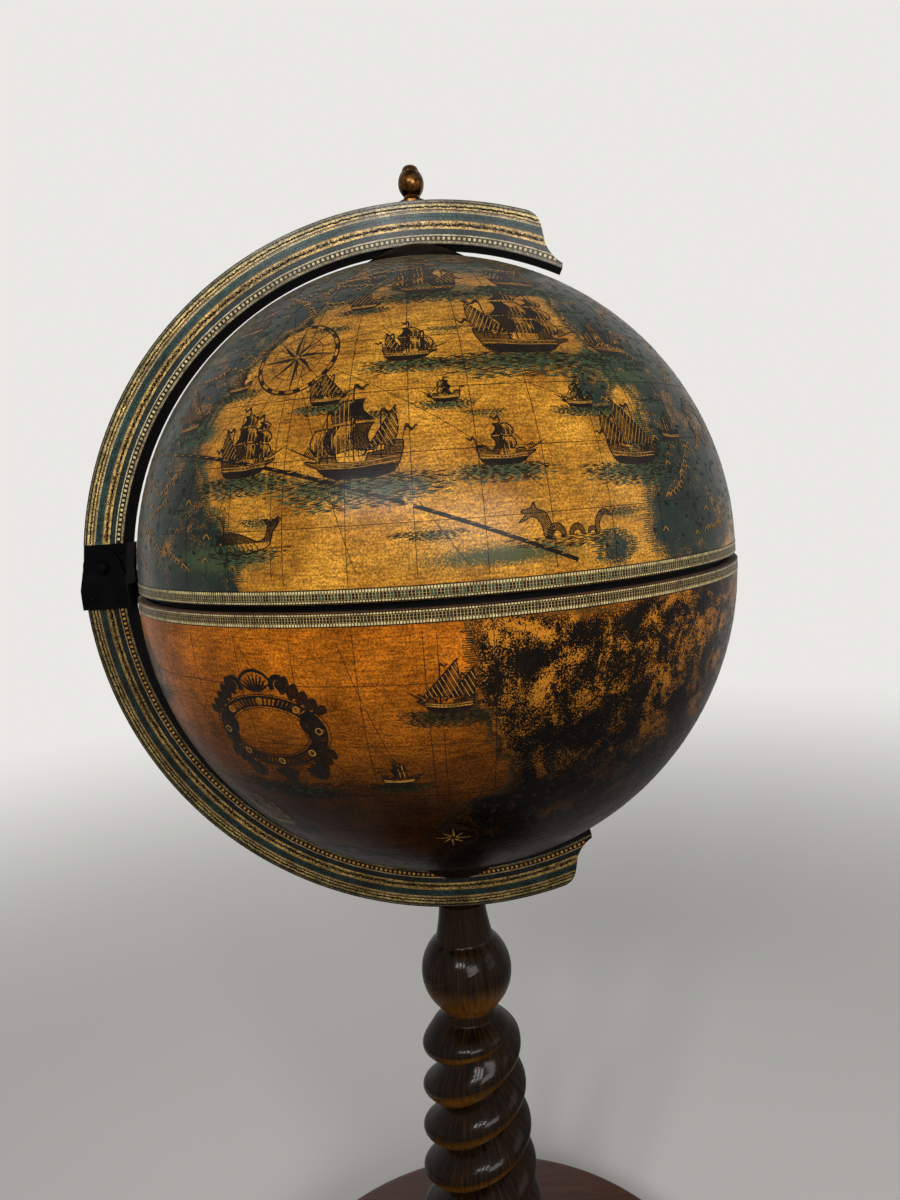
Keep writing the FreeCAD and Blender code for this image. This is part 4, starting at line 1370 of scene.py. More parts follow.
    def whale(self, pen: Pen) -> None:
        """Draw a spouting whale, half out of the water; one unit is its length.

        Args:
            pen: the pen.
        """
        back = [
            (-0.5, 0.0), (-0.49, 0.12), (-0.38, 0.21), (-0.16, 0.22), (0.08, 0.15), (0.25, 0.08),
            (0.37, 0.12), (0.42, 0.27), (0.36, 0.36), (0.48, 0.33), (0.6, 0.38), (0.58, 0.28),
            (0.5, 0.18), (0.45, 0.03), (0.3, -0.04), (0.0, -0.07), (-0.35, -0.05),
        ]
        self.sea(pen, 0.8, 0.18, -0.02)
        pen.shape(back, 0.6)
        upper = rounded(np.array(back), closed=True)
        pen.hatch(upper[upper[:, 1] > 0.05], 0.62, 0.48, 18.0)
        for rib in np.linspace(-0.42, 0.2, 9):
            pen.line([(rib, 0.05), (rib + 0.05, 0.0), (rib + 0.04, -0.05)], 0.45, smooth=True)
        for side, height in ((-0.12, 0.24), (-0.05, 0.34), (0.03, 0.36), (0.1, 0.28)):
            middle, end = (-0.34 + side * 0.5, 0.22 + height), (-0.34 + side * 1.7, 0.12 + height)
            pen.line([(-0.34, 0.22), middle, end], 0.45, smooth=True, taper=True)
        pen.dot((-0.4, 0.09), 0.9)

    def sea_serpent(self, pen: Pen) -> None:
        """Draw a beast's head, coils and tail over the waves; one unit is its length.

        Args:
            pen: the pen.
        """
        self.sea(pen, 0.75, 0.16, 0.0)
        for place, size in ((-0.14, 0.13), (0.14, 0.11), (0.36, 0.07)):
            turns = np.linspace(0, np.pi, 10)
            inner = oval(turns, 1.1)[::-1] * size * 0.5
            ring = np.vstack([oval(turns, 1.25) * size, inner]) + (place, 0.0)
            pen.line(ring, 0.5, closed=True)
            pen.hatch(ring, 0.7, 0.48, 70.0)
        head = [
            (-0.30, 0.0), (-0.33, 0.16), (-0.42, 0.26), (-0.50, 0.24), (-0.62, 0.20), (-0.53, 0.29),
            (-0.58, 0.34), (-0.46, 0.37), (-0.40, 0.44), (-0.37, 0.36), (-0.26, 0.30), (-0.20, 0.16),
            (-0.20, 0.0),
        ]
        pen.shape(head, 0.55, 0.66, 40.0)
        tail = [
            (0.46, 0.0), (0.48, 0.14), (0.56, 0.22), (0.66, 0.20), (0.60, 0.28), (0.50, 0.27),
            (0.42, 0.16), (0.40, 0.0),
        ]
        pen.shape(tail, 0.5, 0.66, 20.0)

    def hill(self, pen: Pen, lit: Ink) -> None:
        """Draw a hill that is lit from its left; one unit is its width.

        Args:
            pen: the pen.
            lit: the ink of its brow.
        """
        brow = [(-0.5, 0.0), (-0.22, 0.34), (0.0, 0.5), (0.16, 0.36), (0.5, 0.0)]
        pen.line(brow, 0.55, lit, smooth=True)
        for step in (0.04, 0.14, 0.24, 0.34):
            pen.line([(step, 0.46 - step * 0.8), (step - 0.02, 0.02)], 0.6, Ink.DARK, taper=True)

    def tree(self, pen: Pen) -> None:
        """Draw a round-headed tree; one unit is its height.

        Args:
            pen: the pen.
        """
        pen.line([(0.0, 0.0), (0.02, 0.5)], 0.5)
        crown = [(-0.25, 0.5), (-0.3, 0.75), (-0.05, 1.0), (0.25, 0.9), (0.3, 0.6), (0.05, 0.45)]
        pen.shape(crown, 0.45, 0.6)

    def tower(self, pen: Pen, lit: Ink) -> None:
        """Draw a small walled town; one unit is its width.

        Args:
            pen: the pen.
            lit: the ink of its walls.
        """
        wall = [
            (-0.5, 0.0), (-0.5, 0.35), (-0.2, 0.35), (-0.2, 0.75), (0.0, 0.98), (0.2, 0.75), (0.2, 0.3),
            (0.5, 0.3), (0.5, 0.0),
        ]
        pen.line(wall, 0.5, lit, closed=True)
        pen.hatch([(0.02, 0.0), (0.02, 0.8), (0.2, 0.7), (0.2, 0.0)], 0.6, 0.45, 90.0, lit)

    def scroll(
        self, pen: Pen, root: Spot, heading: float, radius: float, hand: int, width: float
    ) -> None:
        """Draw a carved scroll that thins as it rolls up.

        Args:
            pen: the pen.
            root: where it starts.
            heading: the way it sets off, in degrees.
            radius: of its first turn, in drawing units.
            hand: 1 to roll left, -1 to roll right.
            width: of its first stroke, in millimetres.
        """
        angles = np.linspace(0, 1.85 * 2 * np.pi, 34)
        reach = radius * np.exp(-angles * 0.17)
        steps = np.gradient(angles) * reach
        headings = math.radians(heading) + hand * angles
        path = np.cumsum(oval(headings) * steps[:, None], axis=0) + root
        pen.sheet.stroke(pen.ways(path), width * (1 - 0.6 * angles / angles[-1]), Ink.DARK)
        inside = path + np.stack([-np.sin(headings), np.cos(headings)], axis=1) * (hand * radius * 0.16)
        pen.line(inside[:22], 0.4)
        for mark in range(1, 20, 2):
            pen.line([path[mark], inside[mark]], 0.4)

    def leaf(self, pen: Pen, root: Spot, reach: Spot, swell: Spot, angle: float) -> None:
        """Draw a leaf that swells at its middle.

        Args:
            pen: the pen.
            root: where it grows from.
            reach: from there to its tip.
            swell: from its middle to its edge.
            angle: of the shading, in degrees.
        """
        tip = np.add(root, reach)
        middle = (root + tip) / 2
        pen.shape([root, middle + swell, tip, middle - swell], 0.6, 0.5, angle)

    def cartouche(self, pen: Pen) -> None:
        """Draw an empty oval tablet in strapwork, with scrolls and leaves; one unit is half its width.

        Args:
            pen: the pen.
        """
        turns = np.linspace(0, 2 * np.pi, 72, endpoint=False)
        rim = oval(turns, 0.60)
        for share, width in ((0.62, 0.45), (0.68, 1.2), (0.88, 1.6), (0.94, 0.5)):
            pen.line(rim * share, width, closed=True)
        for number in range(72):
            if number % 9:
                pen.line([rim[number] * 0.69, rim[number] * 0.87], 1.9 if number % 9 < 6 else 1.1)
        for number in range(0, 72, 9):
            pen.circle(0.045, 0.6, Ink.OCHRE, tuple(rim[number] * 0.78))
        for side in (-1, 1):
            for place, height, heading, radius, hand, width in (
                (0.30, 0.58, 60, 0.15, 1, 3.4),
                (0.86, 0.20, 30, 0.19, -1, 4.2),
                (0.88, -0.16, -30, 0.16, 1, 3.6),
                (0.42, -0.52, -70, 0.17, -1, 3.6),
                (0.16, -0.58, -110, 0.10, 1, 2.4),
            ):
                away = heading if side < 0 else 180 - heading
                self.scroll(pen, (place * side, height), away, radius, -side * hand, width)
            for leaf in range(5):
                root = (side * (0.40 + 0.11 * leaf), 0.56 - 0.08 * leaf)
                self.leaf(pen, root, (side * 0.12, 0.24 - 0.03 * leaf), (0.08, -side * 0.03), 70.0)
            for leaf in range(4):
                root = (side * (0.46 + 0.10 * leaf), -0.52 + 0.09 * leaf)
                self.leaf(pen, root, (side * 0.12, -0.20), (0.07, 0.03 * side), 110.0)
        for rib in range(-4, 5):
            lean = math.radians(rib * 17)
            tip = (0.26 * math.sin(lean), 0.62 + 0.24 * math.cos(lean))
            pen.line([(0.05 * rib / 4, 0.60), tip], 1.5, taper=True)
        leans = [math.radians(lean) for lean in range(-76, 77, 12)]
        pen.line([(0.30 * math.sin(lean), 0.62 + 0.28 * math.cos(lean)) for lean in leans], 1.8)
        drop = [(0.0, -0.58), (0.10, -0.70), (0.07, -0.84), (0.0, -0.98), (-0.07, -0.84), (-0.10, -0.70)]
        pen.shape(drop, 0.8, 0.46, 90.0)

    def dividers(self, pen: Pen) -> None:
        """Draw a pair of dividers over a chequered scale bar; one unit is the bar's half length.

        Args:
            pen: the pen.
        """
        pen.line([(-1.0, 0.0), (1.0, 0.0), (1.0, 0.12), (-1.0, 0.12)], 0.5, closed=True)
        for cell in range(0, 10, 2):
            left = -1.0 + cell * 0.2
            pen.hatch([(left, 0.0), (left + 0.2, 0.0), (left + 0.2, 0.12), (left, 0.12)], 0.5, 0.48)
        for side in (-1, 1):
            foot = ((0.38 * side, 0.18), (0.32 * side, 0.2))
            leg = [(0.0, 1.0), (0.05 * side, 0.9), *foot, (-0.03 * side, 0.88)]
            pen.shape(leg, 0.5, 0.6, 90.0, smooth=False)
        pen.circle(0.09, 0.7, centre=(0.0, 1.04))
        pen.circle(0.04, 0.6, centre=(0.0, 1.04))


@dataclass(frozen=True)
class Vessel:
    """A ship on the chart: its place and heel in degrees, its length in millimetres, and its rig."""

    lon: float
    lat: float
    length: float
    rig: Rig
    turn: float = 0.0
    mirror: bool = False

    def wake(self) -> Tint:
        """Give the green wash brushed under the ship."""
        size = self.length
        return Tint(self.lon, self.lat - 0.055 * size, 0.85 * size, 0.15 * size, 0.85)

    def draw(self, motifs: ChartMotifs, sheet: MapSheet) -> None:
        """Draw the ship on its sheet."""
        motifs.ship(Pen(sheet, self.lon, self.lat, self.length, self.turn, self.mirror), self.rig)


@dataclass
class MapPrinter:
    """Presses what every sheet has: graticule, great circles, shore lines, relief and the edge bands."""

    sheet: MapSheet
    motifs: ChartMotifs
    edge_lat: float
    inward: int
    clear: tuple[Point, ...]
    grid_step: int = 10
    grid_width_mm: float = 0.32
    shore_pitch_mm: float = 1.15
    edge_clear: float = 3.6
    inland: float = 0.05
    crowding: float = 0.99975
    peak_pitch_mm: float = 3.7
    tries_per_chain: int = 26

    def graticule(self) -> None:
        """Rule meridians and parallels every few degrees."""
        low, high = self.sheet.low_lat, self.sheet.high_lat
        inner = self.edge_lat + self.inward * 2.9
        ends = (inner, high) if self.inward > 0 else (low, inner)
        for lon in range(0, 360, self.grid_step):
            end = ends[1] if lon % 30 == 0 or self.inward < 0 else min(ends[1], 72.0)
            lats = np.arange(ends[0], end, 1.3)
            self.sheet.stroke(way(np.full(len(lats), float(lon)), lats), self.grid_width_mm, Ink.DARK)
        for lat in range(-80, 81, self.grid_step):
            if ends[0] < lat < ends[1]:
                self.sheet.ring(float(lat), self.grid_width_mm, Ink.DARK)

    def great_circle(self, crest_lon: float, tilt: float) -> None:
        """Rule a heavy line, ticked pale down its middle, along a tilted great circle.

        Args:
            crest_lon: the longitude where it stands highest, in degrees.
            tilt: its height there, in degrees.
        """
        lons = np.arange(0.0, 360.0, 1.3)
        lats = np.degrees(np.arctan(math.tan(math.radians(tilt)) * np.cos(np.radians(lons - crest_lon))))
        inward = (lats - self.edge_lat) * self.inward
        kept = inward > 3.4
        for part in np.split(np.arange(len(lons)), np.flatnonzero(np.diff(kept.astype(int))) + 1):
            if kept[part[0]] and len(part) > 1:
                self.sheet.stroke(way(lons[part], lats[part]), 2.1, Ink.DARK)
        for lon, lat, depth in zip(lons[::2], lats[::2], inward[::2]):
            if depth > self.edge_clear:
                self.sheet.dash(lat, lon, lon + 0.9, 0.3, Ink.OCHRE)

    def shores(self) -> None:
        """Rule short level lines off every shore, dark at the land and green to seaward."""
        sheet, hand = self.sheet, self.motifs.hand
        step = math.degrees(self.shore_pitch_mm / sheet.radius)
        for lat in np.arange(sheet.low_lat + self.edge_clear, sheet.high_lat - self.edge_clear, step):
            place = (lat - sheet.low_lat) / (sheet.high_lat - sheet.low_lat) * (sheet.rows - 1)
            below, share = int(place), place % 1.0
            row = sheet.land[below] * (1 - share) + sheet.land[min(below + 1, sheet.rows - 1)] * share
            following = np.roll(row, -1)
            degree = math.degrees(1.0 / sheet.radius) / max(0.15, math.cos(math.radians(lat)))
            for column in np.flatnonzero((row > 0) != (following > 0)):
                start = (column + row[column] / (row[column] - following[column])) * 360 / sheet.columns
                seaward = 1 if row[column] > 0 else -1
                dark, green = hand.uniform(0.6, 2.6), hand.uniform(2.0, 6.5)
                for length, ink in ((green, Ink.GREEN), (dark, Ink.DARK)):
                    inland, off = start - seaward * degree * 0.6, start + seaward * degree * length
                    sheet.dash(lat, inland, off, 0.5, ink)

    def relief(self, number: int, low: float, high: float, lit: tuple[Ink, Ink]) -> None:
        """Scatter hills, woods and towns inland.

        Args:
            number: how many places are tried.
            low: the lowest latitude, in degrees.
            high: the highest.
            lit: the inks of the lit sides of small and of large hills.
        """
        hand = self.motifs.hand
        taken: list[np.ndarray] = []
        sines = [math.sin(math.radians(lat)) for lat in (low, high)]
        clear = [(way(lon, lat), math.cos(math.radians(reach))) for lon, lat, reach in self.clear]
        for _ in range(number):
            lon, lat = hand.uniform(0, 360), math.degrees(math.asin(hand.uniform(*sines)))
            spot, kind = way(lon, lat), hand.random()
            size, turn = hand.uniform(4.5, 7.5), hand.uniform(-8, 8)
            at_sea = self.sheet.land_at(spot[None])[0] < self.inland
            crowded = any(spot @ other > self.crowding for other in taken)
            if at_sea or crowded or any(spot @ middle > edge for middle, edge in clear):
                continue
            taken.append(spot)
            if kind < 0.3:
                self.motifs.hill(Pen(self.sheet, lon, lat, 0.7 * size, turn), lit[0])
            elif kind < 0.72:
                self.motifs.hill(Pen(self.sheet, lon, lat, size, turn), lit[1])
            elif kind < 0.88:
                self.motifs.tree(Pen(self.sheet, lon, lat, size * 0.7, turn))
            else:
                self.motifs.tower(Pen(self.sheet, lon, lat, size * 0.9, turn), lit[1])

    def ranges(self, number: int, low: float, high: float, lit: Ink) -> None:
        """Draw chains of small hills that wander inland.

        Args:
            number: how many chains are tried.
            low: the lowest latitude, in degrees.
            high: the highest.
            lit: the ink of their lit sides.
        """
        hand = self.motifs.hand
        step = self.peak_pitch_mm / self.sheet.radius
        for _ in range(number):
            lon, lat = hand.uniform(0, 360), hand.uniform(low, high)
            heading, peaks = hand.uniform(-0.9, 0.9), int(hand.uniform(6, 15))
            for _ in range(peaks):
                if not low < lat < high or self.sheet.land_at(way(lon, lat)[None])[0] < self.inland:
                    break
                size, turn = hand.uniform(3.4, 5.2), hand.uniform(-8, 8)
                self.motifs.hill(Pen(self.sheet, lon, lat, size, turn), lit)
                heading += hand.uniform(-0.4, 0.4)
                lon += math.degrees(step * math.cos(heading)) / math.cos(math.radians(lat))
                lat += math.degrees(step * math.sin(heading))

    def edge_bands(self) -> None:
        """Press the bands that run round the equator: a ladder, a chequered band, then a beaded line."""
        sheet, towards = self.sheet, self.inward
        per_mm = math.degrees(1.0 / sheet.radius)

        def lat(depth: float) -> float:
            """Give the latitude at a depth in millimetres from the sheet's edge."""
            return self.edge_lat + towards * per_mm * depth

        sheet.ring(lat(0.35), 0.5, Ink.DARK)
        sheet.ring(lat(1.1), 1.0, Ink.DARK)
        sheet.cells(lat(1.1), 0.8, 1.05, 1.6, Ink.PALE)
        sheet.ring(lat(3.6), 3.9, Ink.GREEN)
        sheet.cells(lat(3.6), 3.0, 3.9, 7.0, Ink.DARK, 0.5)
        sheet.cells(lat(3.6), 3.2, 0.2, 1.75, Ink.PALE)
        for depth in (2.1, 3.6, 5.1):
            sheet.ring(lat(depth), 0.2, Ink.OCHRE)
        sheet.ring(lat(6.1), 1.6, Ink.DARK)
        sheet.cells(lat(6.1), 1.3, 1.05, 1.6, Ink.PALE)
        sheet.ring(lat(7.2), 0.4, Ink.DARK)

    def press_all(self, relief: tuple[int, float, float], lit: tuple[Ink, Ink]) -> None:
        """Press everything in order.

        Args:
            relief: the number of places tried, and the lowest and highest latitude, for relief.
            lit: the inks of the lit sides of small and of large hills.
        """
        self.graticule()
        self.shores()
        number, low, high = relief
        self.relief(number, low, high, lit)
        self.ranges(number // self.tries_per_chain, low, high, lit[0])
        self.edge_bands()


# ---------------------------------------------------------------- the arcs' printed strips
@dataclass
class ArcStrip:
    """The raised marks of one meridian arc's printed strip, on both its faces; lengths in millimetres."""

    node: str
    body: str
    centre_z: float
    outer: float
    start: float
    end: float
    half_thickness: float = 10.0
    margin: float = 0.5
    hand: np.random.Generator = field(default_factory=lambda: np.random.default_rng(5))
    prints: dict[Ink, Impression] = field(default_factory=blank_plates)

    def __post_init__(self) -> None:
        """Read the arc's own faces, so that no mark hangs over an edge."""
        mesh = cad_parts[self.node].data
        points = [vertex.co / MM for vertex in mesh.vertices]
        self.faces = BVHTree.FromPolygons(points, [tuple(face.vertices) for face in mesh.polygons])

    def on_face(self, x: float, z: float, side: int) -> bool:
        """Tell whether one spot lies on the arc's full thickness."""
        hit = self.faces.ray_cast(Vector((x, side * 40.0, z)), Vector((0.0, -side, 0.0)))[0]
        return hit is not None and abs(abs(hit.y) - self.half_thickness) < 0.05

    def mark(self, depths: Sequence[float], angles: Sequence[float], width: float, ink: Ink) -> None:
        """Press one mark on both faces.

        Args:
            depths: how far in from the arc's outside each of its points lies.
            angles: the place of each point round the arc, in degrees from +X.
            width: its width.
            ink: the plate.
        """
        radius = self.outer - np.asarray(depths, float)
        turns = np.radians(np.asarray(angles, float))
        x, z = radius * np.cos(turns), radius * np.sin(turns) + self.centre_z
        near = [(self.margin, 0.0), (-self.margin, 0.0), (0.0, self.margin), (0.0, -self.margin)]
        spots = [(x[end] + away, z[end] + lift) for end in (0, -1) for away, lift in near]
        for side in (-1, 1):
            if all(self.on_face(*spot, side) for spot in spots):
                height = side * (self.half_thickness + 0.4 * ink.value[1])
                path = np.stack([x, np.full(len(x), height), z], axis=1)
                outward = np.broadcast_to((0.0, float(side), 0.0), path.shape)
                self.prints[ink].ribbon(path, outward, width)

    def row(self, depth: float, pitch: float, length: float, width: float, ink: Ink) -> None:
        """Press a row of marks along the arc, measured in millimetres; each length lies along it.

        Args:
            depth: the row's distance from the outside of the arc.
            pitch: from one mark to the next.
            length: of a mark.
            width: of a mark.
            ink: the plate.
        """
        radius = self.outer - depth
        step, half = math.degrees(pitch / radius), math.degrees(length / 2 / radius)
        for angle in np.arange(self.start, self.end, step):
            self.mark((depth, depth), (angle - half, angle + half), width, ink)

    def teeth(
        self, low: float, high: float, pitch: float, width: float, ink: Ink, lean: float = 0.0
    ) -> None:
        """Press a row of leaning marks across the arc, measured in millimetres.

        Args:
            low: depth where a mark starts.
            high: depth where it ends.
            pitch: from one mark to the next.
            width: of a mark.
            ink: the plate.
            lean: how far its end is ahead of its start.
        """
        step = math.degrees(pitch / (self.outer - low))
        for angle in np.arange(self.start, self.end, step):
            self.mark((low, high), (angle, angle + lean), width, ink)

    def vine(
        self, depth: float, height: float, wave: float, leaf: float, width: float, ink: Ink
    ) -> None:
        """Press a winding stem with leaves along one band.

        Args:
            depth: of the band's middle.
            height: how far the stem swings either way.
            wave: the length of one swing.
            leaf: a leaf's length.
            width: of the stem.
            ink: the plate.
        """
        radius = self.outer - depth
        turn = math.degrees(wave / radius)
        swing = np.linspace(0, 2 * np.pi, 9)
        angle = self.start
        while angle < self.end:
            stretch, swell = turn * self.hand.uniform(0.7, 1.35), height * self.hand.uniform(0.35, 1.05)
            for part in (swing[:5], swing[4:]):
                if self.hand.random() < 0.75:
                    places = angle + stretch * part / (2 * np.pi)
                    self.mark(depth + swell * np.sin(part), places, width, ink)
            for place, side in ((0.25, 1), (0.5, -1), (0.75, -1), (1.0, 1)):
                root = angle + stretch * place
                lean = math.degrees(leaf * self.hand.uniform(0.4, 1.3) / radius)
                foot = depth + side * swell * 0.8
                tip, low_tip = depth - side * height * 0.6, depth - side * height * 0.2
                self.mark((foot, tip), (root, root + lean), 1.7 * width, ink)
                self.mark((foot, low_tip), (root, root - lean * 0.8), 1.3 * width, ink)
            angle += stretch

    def build(self, inks: dict[Ink, bpy.types.Material]) -> None:
        """Press every row and make the pieces.

        Args:
            inks: the inks by plate.
        """
        self.row(2.0, 3.4, 1.9, 0.8, Ink.DARK)
        self.vine(4.65, 0.85, 9.0, 1.6, 0.4, Ink.DARK)
        self.vine(4.4, 0.7, 5.3, 1.1, 0.26, Ink.DARK)
        self.teeth(3.3, 6.0, 27.0, 0.5, Ink.DARK)
        self.row(7.4, 1.9, 1.2, 0.35, Ink.DARK)
        self.row(8.15, 2.3, 2.3, 0.25, Ink.PALE)
        self.teeth(8.7, 12.6, 1.15, 0.22, Ink.DARK, 0.25)
        self.row(10.6, 1.7, 1.7, 0.22, Ink.DARK)
        self.row(13.15, 2.3, 2.3, 0.22, Ink.OCHRE)
        self.vine(15.9, 1.4, 17.0, 2.4, 0.42, Ink.DARK)
        self.vine(15.5, 1.5, 7.9, 1.3, 0.24, Ink.DARK)
        self.vine(16.3, 1.2, 4.7, 1.0, 0.2, Ink.DARK)
        self.teeth(13.7, 18.1, 51.0, 0.5, Ink.DARK)
        self.teeth(19.1, 21.6, 1.3, 0.2, Ink.DARK, 0.2)
        self.row(22.3, 1.7, 1.1, 0.35, Ink.PALE)
        self.row(24.4, 3.4, 1.7, 1.7, Ink.PALE)
        self.teeth(26.1, 27.2, 1.35, 0.35, Ink.DARK)
        press(self.prints, self.node, inks, self.body)


# ---------------------------------------------------------------- sub-assemblies
@dataclass
class Globe:
    """The two papered halves, in millimetres and degrees."""

    bowl_centre: float = 665.0
    bowl_radius: float = 200.0
    dome_centre: float = 675.0
    dome_radius: float = 198.5
    bowl_inset: float = 0.5
    paper_lift: float = 0.14
    bowl_paper_drop: float = 0.27
    bowl_edge: float = 0.86
    dome_edge: float = -0.87
    pole_lat: float = 80.3
    dome_patches: tuple[Patch, ...] = (
        Patch(-68, 18, 25, 1.1), Patch(-60, 50, 24, 1.0), Patch(-88, 38, 22, 0.8), Patch(-44, 5, 12, 0.8),
        Patch(-36, 66, 15, 0.8), Patch(-50, 33, 9, 0.5), Patch(-33, 3, 5, 0.4), Patch(67, 22, 25, 1.15),
        Patch(60, 44, 16, 0.75), Patch(88, 50, 20, 0.7), Patch(48, 6, 12, 0.8), Patch(46, 63, 11, 0.5),
        Patch(62, 23, 6, -0.9), Patch(150, 30, 34, 0.6), Patch(-150, 40, 30, 0.55),
        Patch(120, 10, 18, 0.4), Patch(8, 77, 13, 0.6), Patch(-28, 70, 11, 0.65), Patch(24, 67, 5.5, 0.7),
        Patch(-2, 45, 2.6, 0.6), Patch(4, 46, 2.0, 0.6), Patch(33, 29, 2.6, 0.6), Patch(-9, 3.6, 3.6, 0.6),
        Patch(-16, 5, 2.6, 0.6), Patch(3, 26, 1.8, 0.6), Patch(30, 4, 4, 0.5), Patch(0, 26, 24, -0.4),
        Patch(20, 50, 15, -0.3), Patch(-20, 38, 14, -0.35),
    )
    bowl_patches: tuple[Patch, ...] = (
        Patch(44, -22, 25, 1.0), Patch(30, -46, 21, 0.85), Patch(66, -8, 16, 0.6), Patch(21, -12, 10, 0.6),
        Patch(78, -40, 22, 0.6), Patch(0, -88, 27, 0.75), Patch(-72, -44, 13, 0.45),
        Patch(-92, -18, 18, 0.6), Patch(9, -34, 3.0, 0.6), Patch(5, -38, 2.4, 0.6),
        Patch(150, -30, 34, 0.65), Patch(-150, -36, 26, 0.6), Patch(-30, -22, 25, -0.5),
        Patch(-4, -14, 10, -0.4),
    )
    dome_tints: tuple[Tint, ...] = (
        Tint(-40, 47.5, 18, 5), Tint(5, 53.0, 26, 5), Tint(28, 51, 22, 5), Tint(-32, 6, 30, 6, 1.1),
        Tint(12, 4.5, 40, 5), Tint(-44, 26, 24, 6), Tint(44, 31, 20, 5),
    )
    bowl_tints: tuple[Tint, ...] = (
        Tint(-27, -30, 34, 5, 1.2), Tint(-8, -56, 34, 7), Tint(-56, -56, 26, 6),
    )
    dome_fleet: tuple[Vessel, ...] = (
        Vessel(22, 37, 48.0, Rig.GALLEON, -2), Vessel(-8, 18, 46.0, Rig.CARRACK, 2, True),
        Vessel(37, 17, 34.0, Rig.LATEEN, -2), Vessel(14, 18, 27.0, Rig.SLOOP),
        Vessel(43, 36, 28.0, Rig.CARRACK, -3, True), Vessel(0, 36, 25.0, Rig.CARRACK),
        Vessel(-28, 19, 32.0, Rig.GALLEON, 3), Vessel(-42, 46, 22.0, Rig.CARRACK, 5),
        Vessel(5, 52, 32.0, Rig.GALLEON, 0, True), Vessel(30, 53, 28.0, Rig.CARRACK, -4),
        Vessel(-18, 58, 22.0, Rig.SLOOP, 3), Vessel(-46, 27, 24.0, Rig.LATEEN, 6),
        Vessel(-34, 33, 17.0, Rig.SLOOP, 4, True), Vessel(29, 26, 17.0, Rig.SLOOP, -2, True),
        Vessel(-14, 29, 18.0, Rig.LATEEN, 1), Vessel(18, 64, 20.0, Rig.CARRACK, -2),
        Vessel(48, 20, 18.0, Rig.SLOOP, -4, True), Vessel(6, 28, 15.0, Rig.SLOOP, 0, True),
        Vessel(-10, 48, 15.0, Rig.LATEEN, 2), Vessel(170, 22, 44.0, Rig.GALLEON),
        Vessel(-120, 20, 40.0, Rig.GALLEON), Vessel(108, 36, 34.0, Rig.GALLEON),
        Vessel(-165, 56, 28.0, Rig.GALLEON),
    )
    dome_shoals: tuple[Point, ...] = (
        (-24, 12, 16.0), (2, 9, 20.0), (32, 10, 16.0), (-6, 27, 14.0), (12, 26, 12.0), (36, 26, 14.0),
        (-38, 22, 14.0), (22, 45, 16.0), (-16, 44, 14.0), (8, 42, 12.0), (-34, 53, 14.0), (40, 46, 12.0),
        (-2, 60, 16.0), (24, 59, 12.0), (-44, 14, 12.0), (46, 27, 12.0),
    )
    bowl_fleet: tuple[Vessel, ...] = (
        Vessel(-62, -13, 34.0, Rig.CARRACK, 6), Vessel(3, -14, 26.0, Rig.LATEEN, -2, True),
        Vessel(-40, -41, 28.0, Rig.GALLEON, 4), Vessel(-6, -27, 18.0, Rig.SLOOP, 2),
        Vessel(165, -26, 44.0, Rig.GALLEON), Vessel(-125, -28, 40.0, Rig.GALLEON),
        Vessel(112, -22, 36.0, Rig.GALLEON),
    )

    def finishes(self) -> None:
        """Mix the papers, the inks and the lining."""
        # Each paper darkens with height: painted shade, slight at the dome's top and strong at the bowl's
        # bottom.
        self.dome_paper = VarnishedMapPaper(
            "varnished_dome_paper", "#dc9a32", "#9c6216", "#090e0b", "#18241d", "#8a5818",
            wash="#2e3820", painted_shade=0.3, painted_shade_high=0.74, painted_shade_low=0.87, bare=0.6, patch_mm=17.0,
        )
        # The bowl's paper is darker than the dome's: painted shade of the globe's lower half.
        self.bowl_paper = VarnishedMapPaper(
            "varnished_bowl_paper", "#c26c14", "#804408", "#070403", "#110b06", "#ad6c1e",
            wash="#262411", painted_shade=0.94, painted_shade_high=0.655, painted_shade_low=0.55, bare=0.545, patch_mm=19.0,
            specular=0.03, coat=0.04,
        )
        self.lining = Painted("matt_lining_paper", "#2a1a10", "#3a2618", 0.7, 2.5, 0.2)
        # A darker copy of the green ink for the bowl: painted shade.
        self.shaded_green = PrintersInk("deep_green_printing_ink", "#0f140b", "#1c2212").material()
        self.inks = {
            Ink.GREEN: PrintersInk("green_printing_ink", "#1a2f25", "#2e402c").material(),
            Ink.DARK: PrintersInk("brown_black_printing_ink", "#0a0604", "#1a0f07").material(),
            Ink.OCHRE: PrintersInk("ochre_printing_ink", "#94692a", "#5f3d16").material(),
            Ink.PALE: PrintersInk("pale_printing_ink", "#b8a878", "#7f6f4c").material(),
        }

    def lined_bowl(self) -> None:
        """Stand in for the bowl's shell with one that leaves its paper and ink room."""
        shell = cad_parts["bowl_shell"]
        inner = bpy.data.objects.new("bowl_pressed_shell", shell.data.copy())
        bpy.context.scene.collection.objects.link(inner)
        mesh = inner.data
        spots = np.empty(len(mesh.vertices) * 3)
        mesh.vertices.foreach_get("co", spots)
        spots = spots.reshape(-1, 3) - (0.0, 0.0, self.bowl_centre * MM)
        far = np.linalg.norm(spots, axis=1)
        spots *= np.minimum(1.0, (self.bowl_radius - self.bowl_inset) * MM / far)[:, None]
        mesh.vertices.foreach_set("co", (spots + (0.0, 0.0, self.bowl_centre * MM)).ravel())
        mesh.update()
        mesh.materials.clear()
        mesh.materials.append(self.lining.material())
        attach(inner, "lower_globe")
        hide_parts("bowl_shell")

